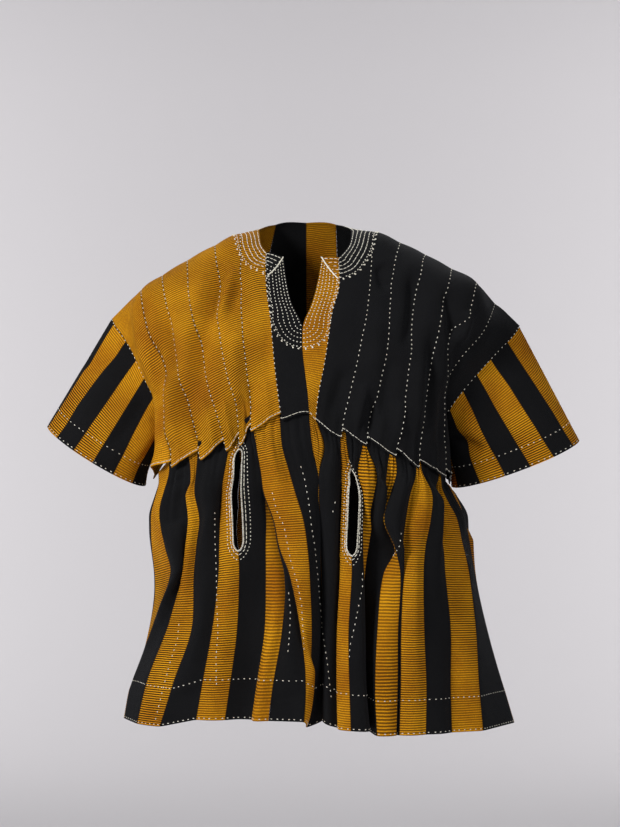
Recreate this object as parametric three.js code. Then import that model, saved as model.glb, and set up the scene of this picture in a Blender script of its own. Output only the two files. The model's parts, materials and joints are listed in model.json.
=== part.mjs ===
// A fugu smock: narrow handwoven strips, black and gold, sewn edge to edge, worn and hanging.
// Millimetres, +Z up, front towards -Y, wearer's left towards +X.
// The origin is the middle of the neck opening, where the wearer's neck and shoulders hold it.
import * as THREE from 'three';

// Driving sizes
const WALL = 1.5;
const SEAM_GAP = 0.3;
const SKIRT_STRIP_WIDTH = 50;
const SKIRT_TUCK = 3.8;
const SIDE_TUCK = 3.5;
const SIDE_TUCK_START = 150;
const SIDE_TUCK_LENGTH = 50;
const FOLD_GROWTH_START = 22;
const FOLD_GROWTH_LENGTH = 45;
const FOLD_FULLNESS = 0.42;
const FOLD_STEEPNESS = 1.5;
const LOOP_PINCH = 0.5;
const LOOP_CHORD = 30;
const FOLD_TURN_START = 0.25;
const FOLD_TURN_LENGTH = 0.6;
const SLIT_HALF_GAP = 8;
const POCKET_CORD_RADIUS = 1.3;
const POCKET_CORD_SIDES = 6;
const BACK_STRIPS = 15;
const BACK_FOLD_INSET = 9;
const BACK_FOLD_START = -330;
const BACK_FOLD_LENGTH = 200;
const BACK_WAIST_FOLD = 0.7;
const BACK_HEM_FOLD = 0.5;
const BACK_SAMPLES = 90;
const SKIRT_SAMPLES = 12;
const SMOOTHING_PASSES = 3;
const SEAM_REACH = 0.998;
const SHOULDER_FOOT = -120;
const LEAST_PUFF = 1.5;
const SHARPEST_SHARED_EDGE = 0.5;
const SLEEVE_DEPTH = 55;
const CUFF_DROOP = 11;
const DRAG_WAVES = 3;

const GOLD = { color: 0x9c6a1c, roughness: 0.92, metalness: 0 };
const BLACK = { color: 0x1c1c20, roughness: 0.9, metalness: 0 };
const THREAD = { color: 0xe8e2d2, roughness: 0.85, metalness: 0 };

// The garment's form: half widths and depths of its rounded section at each height.
// right is towards -X and left towards +X, and power tells how square the section is.
const FORM = [
  { z: 4, right: 50, left: 55, front: 20, back: 56, power: 4 },
  { z: 0, right: 58, left: 64, front: 25, back: 62, power: 4 },
  { z: -12, right: 82, left: 90, front: 38, back: 72, power: 4 },
  { z: -23, right: 107, left: 118, front: 46, back: 80, power: 4 },
  { z: -39, right: 140, left: 154, front: 55, back: 89, power: 4 },
  { z: -55, right: 169, left: 186, front: 63, back: 96, power: 4 },
  { z: -76, right: 204, left: 224, front: 74, back: 104, power: 4 },
  { z: -98, right: 238, left: 262, front: 84, back: 112, power: 4 },
  { z: -120, right: 262, left: 275, front: 92, back: 119, power: 4 },
  { z: -150, right: 268, left: 262, front: 105, back: 124, power: 4 },
  { z: -180, right: 262, left: 240, front: 116, back: 128, power: 4 },
  { z: -220, right: 252, left: 226, front: 127, back: 131, power: 4 },
  { z: -260, right: 242, left: 220, front: 137, back: 134, power: 4 },
  { z: -300, right: 234, left: 216, front: 143, back: 136, power: 4 },
  { z: -385, right: 226, left: 212, front: 148, back: 142, power: 3.8 },
  { z: -410, right: 229, left: 217, front: 149, back: 143, power: 3.6 },
  { z: -480, right: 230, left: 234, front: 152, back: 147, power: 3.1 },
  { z: -560, right: 226, left: 257, front: 158, back: 153, power: 2.7 },
  { z: -630, right: 240, left: 277, front: 163, back: 158, power: 2.5 },
  { z: -700, right: 265, left: 298, front: 168, back: 163, power: 2.4 },
  { z: -760, right: 276, left: 316, front: 172, back: 166, power: 2.4 },
];

// Heights at which the bodice seams give their distance from the middle
const SEAM_LEVELS = [-60, -100, -140, -180, -220, -260, -300, -340];

// Bodice seams of each half, from the middle outwards. ridge is where the seam crosses the
// shoulder, x its distance from the middle at each seam level, notch the lower edge of the
// strip outside it and tooth the lower edge of the strip inside it.
const LEFT_SEAMS = [
  { ridge: 68, x: [48, 49, 39, 33, 26, 18, 14, 14], notch: -297, tooth: -299 },
  { ridge: 100, x: [97, 94, 89, 81, 73, 64, 54, 51], notch: -311, tooth: -323 },
  { ridge: 140, x: [132, 126, 122, 119, 113, 104, 92, 87], notch: -323, tooth: -334 },
  { ridge: 178, x: [173, 168, 162, 157, 149, 144, 138, 131], notch: -340, tooth: -350 },
  { ridge: 216, x: [215, 209, 199, 192, 185, 178, 170, 164], notch: -356, tooth: -367 },
  { ridge: 253, x: [253, 250, 238, 209, 207, 207, 206, 204], notch: -370, tooth: -381 },
];
const RIGHT_SEAMS = [
  { ridge: 68, x: [59, 58, 53, 49, 45, 40, 35, 35], notch: -288, tooth: -297 },
  { ridge: 98, x: [96, 96, 94, 90, 86, 82, 80, 80], notch: -304, tooth: -314 },
  { ridge: 135, x: [133, 131, 130, 124, 115, 104, 98, 96], notch: -318, tooth: -334 },
  { ridge: 176, x: [175, 172, 164, 158, 152, 138, 124, 115], notch: -326, tooth: -342 },
  { ridge: 213, x: [212, 210, 202, 196, 188, 177, 167, 156], notch: -341, tooth: -355 },
  { ridge: 244, x: [244, 242, 237, 226, 210, 203, 200, 195], notch: -357, tooth: -366 },
];

// Seam six of the left half turns behind the side fold; sizes from the middle, front and top
const LEFT_TURNED_SEAM = [
  { x: 283, y: 0, z: -123 },
  { x: 270, y: -46, z: -150 },
  { x: 257, y: -63, z: -172 },
  { x: 228, y: -80, z: -204 },
  { x: 206, y: -78, z: -240 },
  { x: 197, y: -72, z: -290 },
  { x: 204, y: -67, z: -335 },
  { x: 211, y: -62, z: -382 },
];
const TURNED_SEAM_TOOTH = -391;

// Armhole edges from the shoulder to the underarm, and the side seam below it
const LEFT_ARMHOLE = {
  edge: [
    { x: 320, y: 0, z: -156 },
    { x: 309, y: -16, z: -171 },
    { x: 294, y: -27, z: -186 },
    { x: 270, y: -42, z: -210 },
    { x: 241, y: -55, z: -242 },
    { x: 217, y: -59, z: -273 },
    { x: 205, y: -42, z: -303 },
    { x: 203, y: 0, z: -331 },
  ],
  sideSeam: [{ x: 206, y: 0, z: -362 }, { x: 215, y: 0, z: -396 }],
};
const RIGHT_ARMHOLE = {
  edge: [
    { x: 291, y: 0, z: -146 },
    { x: 284, y: -17, z: -158 },
    { x: 272, y: -29, z: -173 },
    { x: 257, y: -40, z: -197 },
    { x: 241, y: -50, z: -230 },
    { x: 225, y: -54, z: -265 },
    { x: 211, y: -42, z: -298 },
    { x: 207, y: 0, z: -325 },
  ],
  sideSeam: [{ x: 211, y: 0, z: -354 }, { x: 229, y: 0, z: -385 }],
};

// Fullness of each bodice strip between its seams, from the middle outwards
const SIDE_STRIP = 5;
const SIDE_FOLD_LEAN = 0.45;
const LEFT_PUFF = [2.5, 3, 4, 3, 3, 4, 3];
const RIGHT_PUFF = [2.5, 3, 4, 3, 4, 17];

// Neck edge from the shoulder to the seam beside the front slit, and to the back seam
const LEFT_NECK = {
  front: [[68, 0, -14], [67, -22, -24], [63, -40, -40], [49, -60, -57]],
  back: [[68, 0, -14], [64, 26, -8], [56, 45, -3], [46, 57, 0]],
};
const RIGHT_NECK = {
  front: [[70, 0, -13], [68, -24, -29], [65, -40, -40], [58, -52, -49]],
  back: [[70, 0, -13], [66, 26, -8], [57, 45, -3], [46, 57, 0]],
};

// Middle seam and the slit above it; left and right are the slit's two edges
const FRONT_MIDDLE = [
  { z: -288, left: 5, right: 5 },
  { z: -262, left: 3, right: 3 },
  { z: -230, left: -1, right: -1 },
  { z: -195, left: -5, right: -5 },
  { z: -158, left: -4, right: -6 },
  { z: -128, left: 8, right: -20 },
  { z: -95, left: 17, right: -28 },
  { z: -57, left: 23, right: -33 },
];
const BACK_MIDDLE_TOP = 3;
const BACK_MIDDLE_FOOT = -288;

// Rows along a bodice seam, from the shoulder (0) to its lower edge (1)
const BODICE_ROWS = [0, 0.07, 0.15, 0.2236, 0.33, 0.45, 0.57, 0.69, 0.81, 0.92, 1];
const NECK_CORNER_ROW = 3;
const UNDERARM_ROW = 8;
const UNDERARM_START = 5;
const SHOULDER_SAMPLES = 60;
const SHOULDER_CROWDING = 2;

// Heights at which the skirt seams give their x and inset
const SKIRT_LEVELS = [-300, -370, -440, -520, -600, -680, -745];
const INSET_LEVELS = [-385, -412, -498, -613, -745];

// Front skirt strips from the wearer's right side to the left side. x is the seam on the
// strip's right at each skirt level, inset how far that seam lies in from the form, and
// fold the side it folds to at the waist and at the hem, +1 outwards and -1 inwards.
const FIRST_SEAM = { x: [-204, -204, -216, -208, -226, -258, -271], inset: [0, 0, 0, 0, 0] };
const FRONT_STRIPS = [
  { x: [-187, -190, -180, -190, -210, -234, -253], inset: [0, 12, 15, 0, 0], fold: [1, 0.6] },
  { x: [-158, -164, -161, -172, -169, -195, -220], inset: [0, 0, 10, -5, 0], fold: [-1, 0.6] },
  { x: [-108, -128, -132, -135, -142, -158, -168], inset: [0, 8, 5, 0, 5], fold: [1, 0.6] },
  { x: [-97, -107, -108, -104, -106, -116, -127], inset: [0, -5, 0, 5, 10], fold: [0.4, 0.6] },
  { x: [-85, -69, -65, -67, -67, -78, -86], inset: [0, 18, 15, 12, 18], fold: [0.4, -0.6] },
  { x: [-73, -62, -51, -33, -42, -55, -62], inset: [0, 10, 0, 0, 5], fold: [0.8, 0.8] },
  { x: [-64, -54, -45, -31, -13, -6, -7], inset: [0, 30, 30, 5, -8], fold: [-1, 0.6] },
  { x: [-38, -29, -10, -2, 1, -3, -5], inset: [0, -12, -15, 0, 45], fold: [0.8, 0.6] },
  { x: [-4, 8, 7, 8, 14, 16, 17], inset: [0, 20, 35, 45, 50], fold: [0.5, 0.3] },
  { x: [7, 18, 16, 17, 23, 25, 26], inset: [0, 25, 40, 50, 50], fold: [-1, -1] },
  { x: [38, 43, 38, 33, 38, 41, 50], inset: [0, 15, 20, 25, 25], fold: [0.8, 0.6] },
  { x: [48, 60, 63, 57, 54, 56, 58], inset: [0, -5, -5, -8, -12], fold: [0.4, 0.6] },
  { x: [71, 70, 76, 78, 79, 83, 86], inset: [0, 10, 10, 5, 5], fold: [0.4, 0.8] },
  { x: [82, 92, 88, 88, 86, 88, 91], inset: [0, 20, 40, 50, 55], fold: [-1, -0.4] },
  { x: [117, 114, 107, 106, 97, 95, 98], inset: [0, 15, 0, -5, -5], fold: [0.8, -0.5] },
  { x: [126, 126, 114, 129, 127, 127, 126], inset: [0, 5, 0, 0, 0], fold: [-1, 0.6] },
  { x: [157, 152, 142, 137, 135, 135, 134], inset: [0, 5, 0, 0, 0], fold: [1, -1] },
  { x: [165, 167, 178, 166, 166, 169, 166], inset: [0, -8, 0, 0, 0], fold: [-1, 0.6] },
  { x: [194, 196, 196, 207, 209, 207, 208], inset: [0, 15, 10, 8, 8], fold: [0.8, 0.6] },
  { x: [201, 203, 212, 233, 243, 244, 251], inset: [0, 0, 0, 0, 0], fold: [-1, 0.6] },
  { x: [206, 208, 219, 242, 267, 291, 311], inset: [0, 0, 0, 0, 0], fold: [0.7, 0.6] },
];

// Upper edge of the skirt, tucked behind the bodice, and the hem, by distance along X
const SKIRT_TOP = [
  { x: -226, z: -374 }, { x: -210, z: -360 }, { x: -192, z: -343 }, { x: -156, z: -327 },
  { x: -115, z: -311 },
  { x: -81, z: -290 }, { x: -39, z: -275 }, { x: 0, z: -271 }, { x: 16, z: -280 },
  { x: 51, z: -297 }, { x: 87, z: -309 }, { x: 131, z: -326 }, { x: 165, z: -342 },
  { x: 192, z: -354 }, { x: 205, z: -368 }, { x: 212, z: -376 },
];
const HEM = [
  { x: -272, z: -736 }, { x: -168, z: -741 }, { x: -127, z: -740 }, { x: -86, z: -730 },
  { x: -60, z: -729 }, { x: -7, z: -738 }, { x: 90, z: -739 }, { x: 100, z: -747 },
  { x: 208, z: -750 }, { x: 251, z: -752 }, { x: 311, z: -745 },
];
const SKIRT_ROWS = [0, 0.06, 0.11, 0.17, 0.24, 0.32, 0.4, 0.47, 0.58, 0.72, 0.86, 1];

// Pocket slits: the skirt strip before the open seam, and the rows where it is open
const POCKET_SLITS = [
  { name: 'pocket_edge_right', strip: 3, middle: 0.25, half: 0.185, firstRow: 2, lastRow: 6 },
  { name: 'pocket_edge_left', strip: 11, middle: 0.285, half: 0.15, firstRow: 3, lastRow: 6 },
];

// Sleeves: ends of the cuff's long axis, and the depth of the drag folds
const LEFT_SLEEVE = { top: [409, -327], foot: [230, -396], drag: 5 };
const RIGHT_SLEEVE = { top: [-387, -306], foot: [-241, -394], drag: 4 };
const UNDERARM_BULGE = 8;
const UNDERARM_TRIM = 4;
const EDGE_RELIEF = 1.6;
const SLEEVE_ROWS = [0, 0.17, 0.34, 0.5, 0.67, 0.84, 1];

const vec = (x, y, z) => new THREE.Vector3(x, y, z);
const mix = (a, b, t) => a + (b - a) * t;
const clamp = (value, low, high) => Math.min(high, Math.max(low, value));
const smoothStep = (t) => clamp(t, 0, 1) ** 2 * (3 - 2 * clamp(t, 0, 1));

// Value of a table column at a place, straight between rows and level past its ends
function tableAt(rows, along, column, where) {
  const rising = rows[rows.length - 1][along] > rows[0][along];
  const list = rising ? rows : [...rows].reverse();
  if (where <= list[0][along]) return list[0][column];
  for (let i = 1; i < list.length; i += 1) {
    const high = list[i][along];
    if (where > high) continue;
    const low = list[i - 1][along];
    return mix(list[i - 1][column], list[i][column], (where - low) / (high - low));
  }
  return list[list.length - 1][column];
}

// Smooth value through stations that fall from the top down
function smoothAt(stations, values, where) {
  const last = stations.length - 1;
  const slope = (i) => {
    const a = Math.max(0, i - 1);
    const b = Math.min(last, i + 1);
    return (values[b] - values[a]) / (stations[b] - stations[a]);
  };
  if (where >= stations[0]) return values[0];
  if (where <= stations[last]) return values[last];
  const i = stations.findIndex((station, k) => k < last && where >= stations[k + 1]);
  const span = stations[i + 1] - stations[i];
  const t = (where - stations[i]) / span;
  const rise = values[i] * (1 + 2 * t) * (1 - t) ** 2 + values[i + 1] * t * t * (3 - 2 * t);
  return rise + span * (slope(i) * t * (1 - t) ** 2 + slope(i + 1) * t * t * (t - 1));
}

const formAt = (column, z) => tableAt(FORM, 'z', column, z);
const halfWidth = (x, z) => formAt(x < 0 ? 'right' : 'left', z);

// Depth of the form's front or back surface at x and z
function surfaceDepth(side, x, z) {
  const power = formAt('power', z);
  const across = clamp(Math.abs(x) / halfWidth(x, z), 0, 1);
  return formAt(side, z) * (1 - across ** power) ** (1 / power);
}

// Points at given fractions of the length of a polyline
function resample(points, fractions) {
  const reach = [0];
  for (let i = 1; i < points.length; i += 1) {
    reach.push(reach[i - 1] + points[i].distanceTo(points[i - 1]));
  }
  const total = reach[reach.length - 1];
  return fractions.map((fraction) => {
    const goal = fraction * total;
    let i = 1;
    while (i < points.length - 1 && reach[i] < goal) i += 1;
    const t = (goal - reach[i - 1]) / (reach[i] - reach[i - 1]);
    return points[i - 1].clone().lerp(points[i], t);
  });
}

// Height at which the shoulder line stands over x
function ridgeHeight(x) {
  const column = x < 0 ? 'right' : 'left';
  const shoulder = FORM.filter((row) => row.z >= SHOULDER_FOOT);
  return tableAt(shoulder, column, 'z', Math.abs(x));
}

// One bodice seam on the front or the back, from the shoulder down to its notch
function seamCurve(seam, hand, side, top) {
  const points = [];
  for (let i = 0; i <= SHOULDER_SAMPLES; i += 1) {
    const fall = (i / SHOULDER_SAMPLES) ** SHOULDER_CROWDING;
    const z = mix(top, seam.notch, fall);
    const levels = [Math.max(top, SEAM_LEVELS[0] + 1), ...SEAM_LEVELS];
    const x = hand * smoothAt(levels, [seam.ridge, ...seam.x], z);
    const facing = side === 'front' ? -1 : 1;
    points.push(vec(x, facing * surfaceDepth(side, x, z), z));
  }
  return points;
}

// A seam's rows on one side, with the tooth that runs on past its notch
function finishRows(points, tooth) {
  const end = points[points.length - 1];
  const before = points[points.length - 2];
  const run = (tooth - end.z) / (end.z - before.z);
  const toothPoint = end.clone().add(end.clone().sub(before).multiplyScalar(run));
  return { points, toothPoint };
}

const rowsBetween = (first, last) => BODICE_ROWS.slice(first, last + 1)
  .map((row) => (row - BODICE_ROWS[first]) / (BODICE_ROWS[last] - BODICE_ROWS[first]));
const LAST_ROW = BODICE_ROWS.length - 1;

function shoulderSeam(seam, hand, side) {
  const curve = seamCurve(seam, hand, side, ridgeHeight(hand * seam.ridge));
  return finishRows(resample(curve, BODICE_ROWS), seam.tooth);
}

function neckSeam(seam, hand, side, neck) {
  const edge = neck[side].map(([x, y, z]) => vec(hand * x, y, z));
  const corner = edge[edge.length - 1];
  const atCorner = { ...seam, ridge: Math.abs(corner.x) };
  const curve = seamCurve(atCorner, hand, side, corner.z);
  curve[0] = corner;
  const above = resample(edge, rowsBetween(0, NECK_CORNER_ROW));
  const below = resample(curve, rowsBetween(NECK_CORNER_ROW, LAST_ROW));
  return finishRows([...above.slice(0, -1), ...below], seam.tooth);
}

const placed = (row, hand, side) => {
  const back = side === 'back' ? -1 : 1;
  return vec(hand * row.x, back * row.y, row.z);
};

function turnedSeam(rows, hand, side, tooth) {
  const curve = new THREE.CatmullRomCurve3(rows.map((row) => placed(row, hand, side)));
  return finishRows(resample(curve.getPoints(SHOULDER_SAMPLES), BODICE_ROWS), tooth);
}

function armholeSeam(armhole, hand, side) {
  const controls = armhole.edge.map((row) => placed(row, hand, side));
  const curve = new THREE.CatmullRomCurve3(controls).getPoints(SHOULDER_SAMPLES);
  const above = resample(curve, rowsBetween(0, UNDERARM_ROW));
  const below = armhole.sideSeam.map((row) => placed(row, hand, side));
  return { points: [...above, ...below], toothPoint: below[below.length - 1] };
}

// Every seam of one half on one side, from the middle outwards
function halfSeams(hand, side) {
  const isLeft = hand > 0;
  const seams = isLeft ? LEFT_SEAMS : RIGHT_SEAMS;
  const list = [neckSeam(seams[0], hand, side, isLeft ? LEFT_NECK : RIGHT_NECK)];
  for (const seam of seams.slice(1)) list.push(shoulderSeam(seam, hand, side));
  if (isLeft) list.push(turnedSeam(LEFT_TURNED_SEAM, hand, side, TURNED_SEAM_TOOTH));
  list.push(armholeSeam(isLeft ? LEFT_ARMHOLE : RIGHT_ARMHOLE, hand, side));
  return list;
}

// Columns across a strip: its two seams and those between, pushed out by its fullness
function fillStrip(rows, puff, outwards, steps = 2) {
  return rows.map(([a, b], i) => {
    const [aBefore, bBefore] = rows[Math.max(0, i - 1)];
    const [aAfter, bAfter] = rows[Math.min(rows.length - 1, i + 1)];
    const along = aAfter.clone().add(bAfter).sub(aBefore).sub(bBefore);
    const normal = b.clone().sub(a).cross(along).normalize().multiplyScalar(outwards);
    const columns = [a];
    for (let k = 1; k < steps; k += 1) {
      const lean = steps > 2 ? (k / steps) ** SIDE_FOLD_LEAN : k / steps;
      const push = puff(i, k / steps) * Math.sin(Math.PI * lean);
      columns.push(a.clone().lerp(b, k / steps).addScaledVector(normal, push));
    }
    return [...columns, b];
  });
}

// Pieces of cloth as grids of points in the middle of their wall, columns by rows
const sheets = [];
const addSheet = (name, grid, finish, trims, edges = 'shared') => {
  sheets.push({ name, grid, finish, trims, edges });
};
const orderedByX = (grid, hand) => (hand > 0 ? grid : grid.map((row) => [...row].reverse()));

function bodiceStrip(name, finish, hand, front, back, index, puff) {
  const rows = [];
  rows.push([front[index - 1].points[LAST_ROW], front[index].toothPoint]);
  for (let i = LAST_ROW - 1; i >= 0; i -= 1) {
    rows.push([front[index - 1].points[i], front[index].points[i]]);
  }
  for (let i = 1; i < LAST_ROW; i += 1) {
    rows.push([back[index - 1].points[i], back[index].points[i]]);
  }
  rows.push([back[index - 1].points[LAST_ROW], back[index].toothPoint]);
  const shoulder = LAST_ROW;
  const puffAt = (i, across) => {
    const fromShoulder = Math.abs(i - shoulder);
    const eased = 1 - underarmShare(fromShoulder) * smoothStep(across * 2 - 1);
    const swell = mix(LEAST_PUFF, puff, smoothStep(2 * fromShoulder / LAST_ROW));
    return swell * (index > SIDE_STRIP ? eased : 1);
  };
  const steps = index > SIDE_STRIP ? 4 : 2;
  const grid = orderedByX(fillStrip(rows, puffAt, hand, steps), hand);
  const isOuter = index === front.length - 1;
  const outerTrim = (i) => {
    const fromShoulder = Math.abs(i - shoulder);
    return SEAM_GAP / 2 + (isOuter ? EDGE_RELIEF * underarmShare(fromShoulder) : 0);
  };
  const sewn = SEAM_GAP / 2;
  const trims = hand > 0 ? { left: sewn, right: outerTrim } : { left: outerTrim, right: sewn };
  addSheet(name, grid, finish, trims, 'even');
}

function middlePoints(hand, side) {
  const column = hand > 0 ? 'left' : 'right';
  return FRONT_MIDDLE.map((row, i) => {
    if (side === 'front') {
      const x = row[column];
      return vec(x, -surfaceDepth('front', x, row.z), row.z);
    }
    const z = mix(BACK_MIDDLE_FOOT, BACK_MIDDLE_TOP, i / (FRONT_MIDDLE.length - 1));
    return vec(0, formAt('back', z), z);
  });
}

// The strip beside the middle, from its lower edge up to the neck
function middleStrip(name, finish, hand, seam, side) {
  const middle = middlePoints(hand, side);
  const rows = middle.map((point, i) => {
    const beside = i === 0 ? seam.toothPoint : seam.points[LAST_ROW - i];
    return [point, beside];
  });
  const upwards = side === 'front' ? rows : [...rows].reverse();
  const grid = orderedByX(fillStrip(upwards, () => LEAST_PUFF, hand), hand);
  addSheet(name, grid, finish, { left: SEAM_GAP / 2, right: SEAM_GAP / 2 }, 'even');
}

function buildBodice() {
  for (const hand of [-1, 1]) {
    const isLeft = hand > 0;
    const front = halfSeams(hand, 'front');
    const back = halfSeams(hand, 'back');
    const puffs = isLeft ? LEFT_PUFF : RIGHT_PUFF;
    const middleName = isLeft ? 'bodice_middle_gold' : 'bodice_middle_black';
    const middleFinish = isLeft ? GOLD : BLACK;
    middleStrip(`${middleName}_front`, middleFinish, hand, front[0], 'front');
    middleStrip(`${middleName}_back`, middleFinish, hand, back[0], 'back');
    for (let i = 1; i < front.length; i += 1) {
      const name = isLeft ? `bodice_left_black_${i}` : `bodice_right_gold_${i}`;
      bodiceStrip(name, isLeft ? BLACK : GOLD, hand, front, back, i, puffs[i - 1]);
    }
    buildSleeve(hand, front[front.length - 1].points, back[back.length - 1].points);
  }
}

// How near a sleeve column is to the underarm, from 0 to 1
const underarmShare = (column) => smoothStep((column - UNDERARM_START) / (UNDERARM_ROW - UNDERARM_START));

// Half a sleeve from its armhole rows to the cuff; dragged folds run down from the armhole
function sleeveHalf(name, hand, side, edge, sleeve) {
  const facing = side === 'front' ? -1 : 1;
  const [topX, topZ] = sleeve.top;
  const [footX, footZ] = sleeve.foot;
  const columns = edge.slice(0, UNDERARM_ROW + 1).map((start, i) => {
    const turn = Math.PI * BODICE_ROWS[i] / BODICE_ROWS[UNDERARM_ROW];
    const along = (1 - Math.cos(turn)) / 2;
    const droop = CUFF_DROOP * Math.sin(turn);
    const x = mix(topX, footX, along);
    const end = vec(x, facing * SLEEVE_DEPTH * Math.sin(turn), mix(topZ, footZ, along) - droop);
    return SLEEVE_ROWS.map((row) => {
      const point = start.clone().lerp(end, row);
      const wave = Math.sin(Math.PI * row) * Math.sin(turn) * Math.cos(DRAG_WAVES * turn);
      point.y += facing * sleeve.drag * wave;
      point.x += hand * UNDERARM_BULGE * Math.sin(Math.PI * row) * underarmShare(i);
      return point;
    });
  });
  const downFront = hand > 0 ? 1 : -1;
  const ordered = downFront * -facing > 0 ? columns : [...columns].reverse();
  const grid = SLEEVE_ROWS.map((row, j) => ordered.map((column) => column[j]));
  addSheet(name, grid, hand > 0 ? BLACK : GOLD, {
    left: (i) => SEAM_GAP / 2 + (ordered === columns ? 0 : EDGE_RELIEF * (1 - SLEEVE_ROWS[i]) ** 2),
    right: (i) => SEAM_GAP / 2 + (ordered === columns ? EDGE_RELIEF * (1 - SLEEVE_ROWS[i]) ** 2 : 0),
    start: (j) => {
      const column = ordered === columns ? j : UNDERARM_ROW - j;
      return SEAM_GAP / 2 + UNDERARM_TRIM * underarmShare(column);
    },
  }, 'sharp');
}

function buildSleeve(hand, frontEdge, backEdge) {
  const which = hand > 0 ? 'left' : 'right';
  const sleeve = hand > 0 ? LEFT_SLEEVE : RIGHT_SLEEVE;
  sleeveHalf(`sleeve_${which}_front`, hand, 'front', frontEdge, sleeve);
  sleeveHalf(`sleeve_${which}_back`, hand, 'back', backEdge, sleeve);
}

// Outward direction of the form's rounded section at x, y and z
function formNormal(x, y, z) {
  const power = formAt('power', z);
  const depth = formAt(y < 0 ? 'front' : 'back', z);
  const nx = Math.sign(x) * Math.abs(x / halfWidth(x, z)) ** (power - 1) / halfWidth(x, z);
  const ny = Math.sign(y) * Math.abs(y / depth) ** (power - 1) / depth;
  return vec(nx, ny, 0).normalize();
}

// Point of the form's section at an angle, counted from +X over the back
function sectionPoint(turn, z) {
  const power = formAt('power', z);
  const c = Math.cos(turn);
  const s = Math.sin(turn);
  const x = Math.sign(c) * Math.abs(c) ** (2 / power) * halfWidth(c, z);
  const y = Math.sign(s) * Math.abs(s) ** (2 / power) * formAt(s < 0 ? 'front' : 'back', z);
  return vec(x, y, z);
}

function turnOf(x, y, z) {
  const power = formAt('power', z);
  const depth = formAt(y < 0 ? 'front' : 'back', z);
  const c = Math.sign(x) * Math.abs(x / halfWidth(x, z)) ** (power / 2);
  const s = Math.sign(y) * Math.abs(y / depth) ** (power / 2);
  return Math.atan2(s, c);
}

const frontSeams = [FIRST_SEAM, ...FRONT_STRIPS];
const frontX = (seam, z) => smoothAt(SKIRT_LEVELS, seam.x, z);
const skirtZ = (x, row) => mix(tableAt(SKIRT_TOP, 'x', 'z', x), tableAt(HEM, 'x', 'z', x), row);

function frontSeamPoint(seam, row) {
  const z = skirtZ(frontX(seam, SKIRT_LEVELS[1]), row);
  const reach = halfWidth(frontX(seam, z), z);
  const x = clamp(frontX(seam, z), -SEAM_REACH * reach, SEAM_REACH * reach);
  const y = -surfaceDepth('front', x, z);
  const inset = tuckAt(x) * (1 - growthAt(x, z)) + smoothAt(INSET_LEVELS, seam.inset, z);
  return vec(x, y, z).addScaledVector(formNormal(x, y, z), -inset);
}

// How far inside the bodice the skirt's upper edge lies
function tuckAt(x) {
  return SKIRT_TUCK + SIDE_TUCK * smoothStep((Math.abs(x) - SIDE_TUCK_START) / SIDE_TUCK_LENGTH);
}

// How far the folds have opened below the bodice, from 0 to 1
function growthAt(x, z) {
  const start = tableAt(SKIRT_TOP, 'x', 'z', x) - FOLD_GROWTH_START;
  return smoothStep((start - z) / FOLD_GROWTH_LENGTH);
}

// Seams of the back, evenly spaced round the form from the left side to the right one
function backSeamPoints(row) {
  const ends = [frontSeams[frontSeams.length - 1], frontSeams[0]].map((seam) => {
    const point = frontSeamPoint(seam, row);
    return turnOf(point.x, point.y, point.z);
  });
  const finish = ends[1] < 0 ? ends[1] + 2 * Math.PI : ends[1];
  const guess = [];
  for (let i = 0; i <= BACK_SAMPLES; i += 1) {
    guess.push(sectionPoint(mix(ends[0], finish, i / BACK_SAMPLES), skirtZ(0, row)));
  }
  const fractions = Array.from({ length: BACK_STRIPS - 1 }, (_, i) => (i + 1) / BACK_STRIPS);
  return resample(guess, fractions).map((point, i) => {
    const z = skirtZ(clamp(point.x, SKIRT_TOP[0].x, SKIRT_TOP[SKIRT_TOP.length - 1].x), row);
    const turn = turnOf(point.x, point.y, skirtZ(0, row));
    const onForm = sectionPoint(turn, z);
    const grown = growthAt(onForm.x, z);
    const deepened = smoothStep((BACK_FOLD_START - z) / BACK_FOLD_LENGTH);
    const inwards = i % 2 === 0 ? BACK_FOLD_INSET * deepened : 0;
    const inset = tuckAt(onForm.x) * (1 - grown) + inwards;
    return onForm.addScaledVector(formNormal(onForm.x, onForm.y, z), -inset);
  });
}

// Points across one skirt strip, folded so that its cloth keeps its width
function foldPoints(a, b, sign, grown) {
  const across = b.clone().sub(a);
  const chord = Math.hypot(across.x, across.y);
  const spare = Math.sqrt(Math.max(0, SKIRT_STRIP_WIDTH ** 2 - chord ** 2));
  const depth = Math.min(FOLD_FULLNESS * spare, FOLD_STEEPNESS * chord) * grown * sign;
  const outwards = vec(across.y, -across.x, 0).normalize();
  const pinch = clamp(1 - chord / LOOP_CHORD, 0, 1) * LOOP_PINCH;
  const points = [];
  for (let i = 0; i < SKIRT_SAMPLES; i += 1) {
    const u = i / SKIRT_SAMPLES;
    const shifted = u - pinch * Math.sin(2 * Math.PI * u) / (2 * Math.PI);
    const point = a.clone().addScaledVector(across, shifted);
    points.push(point.addScaledVector(outwards, depth * Math.sin(Math.PI * u)));
  }
  return points;
}

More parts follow.
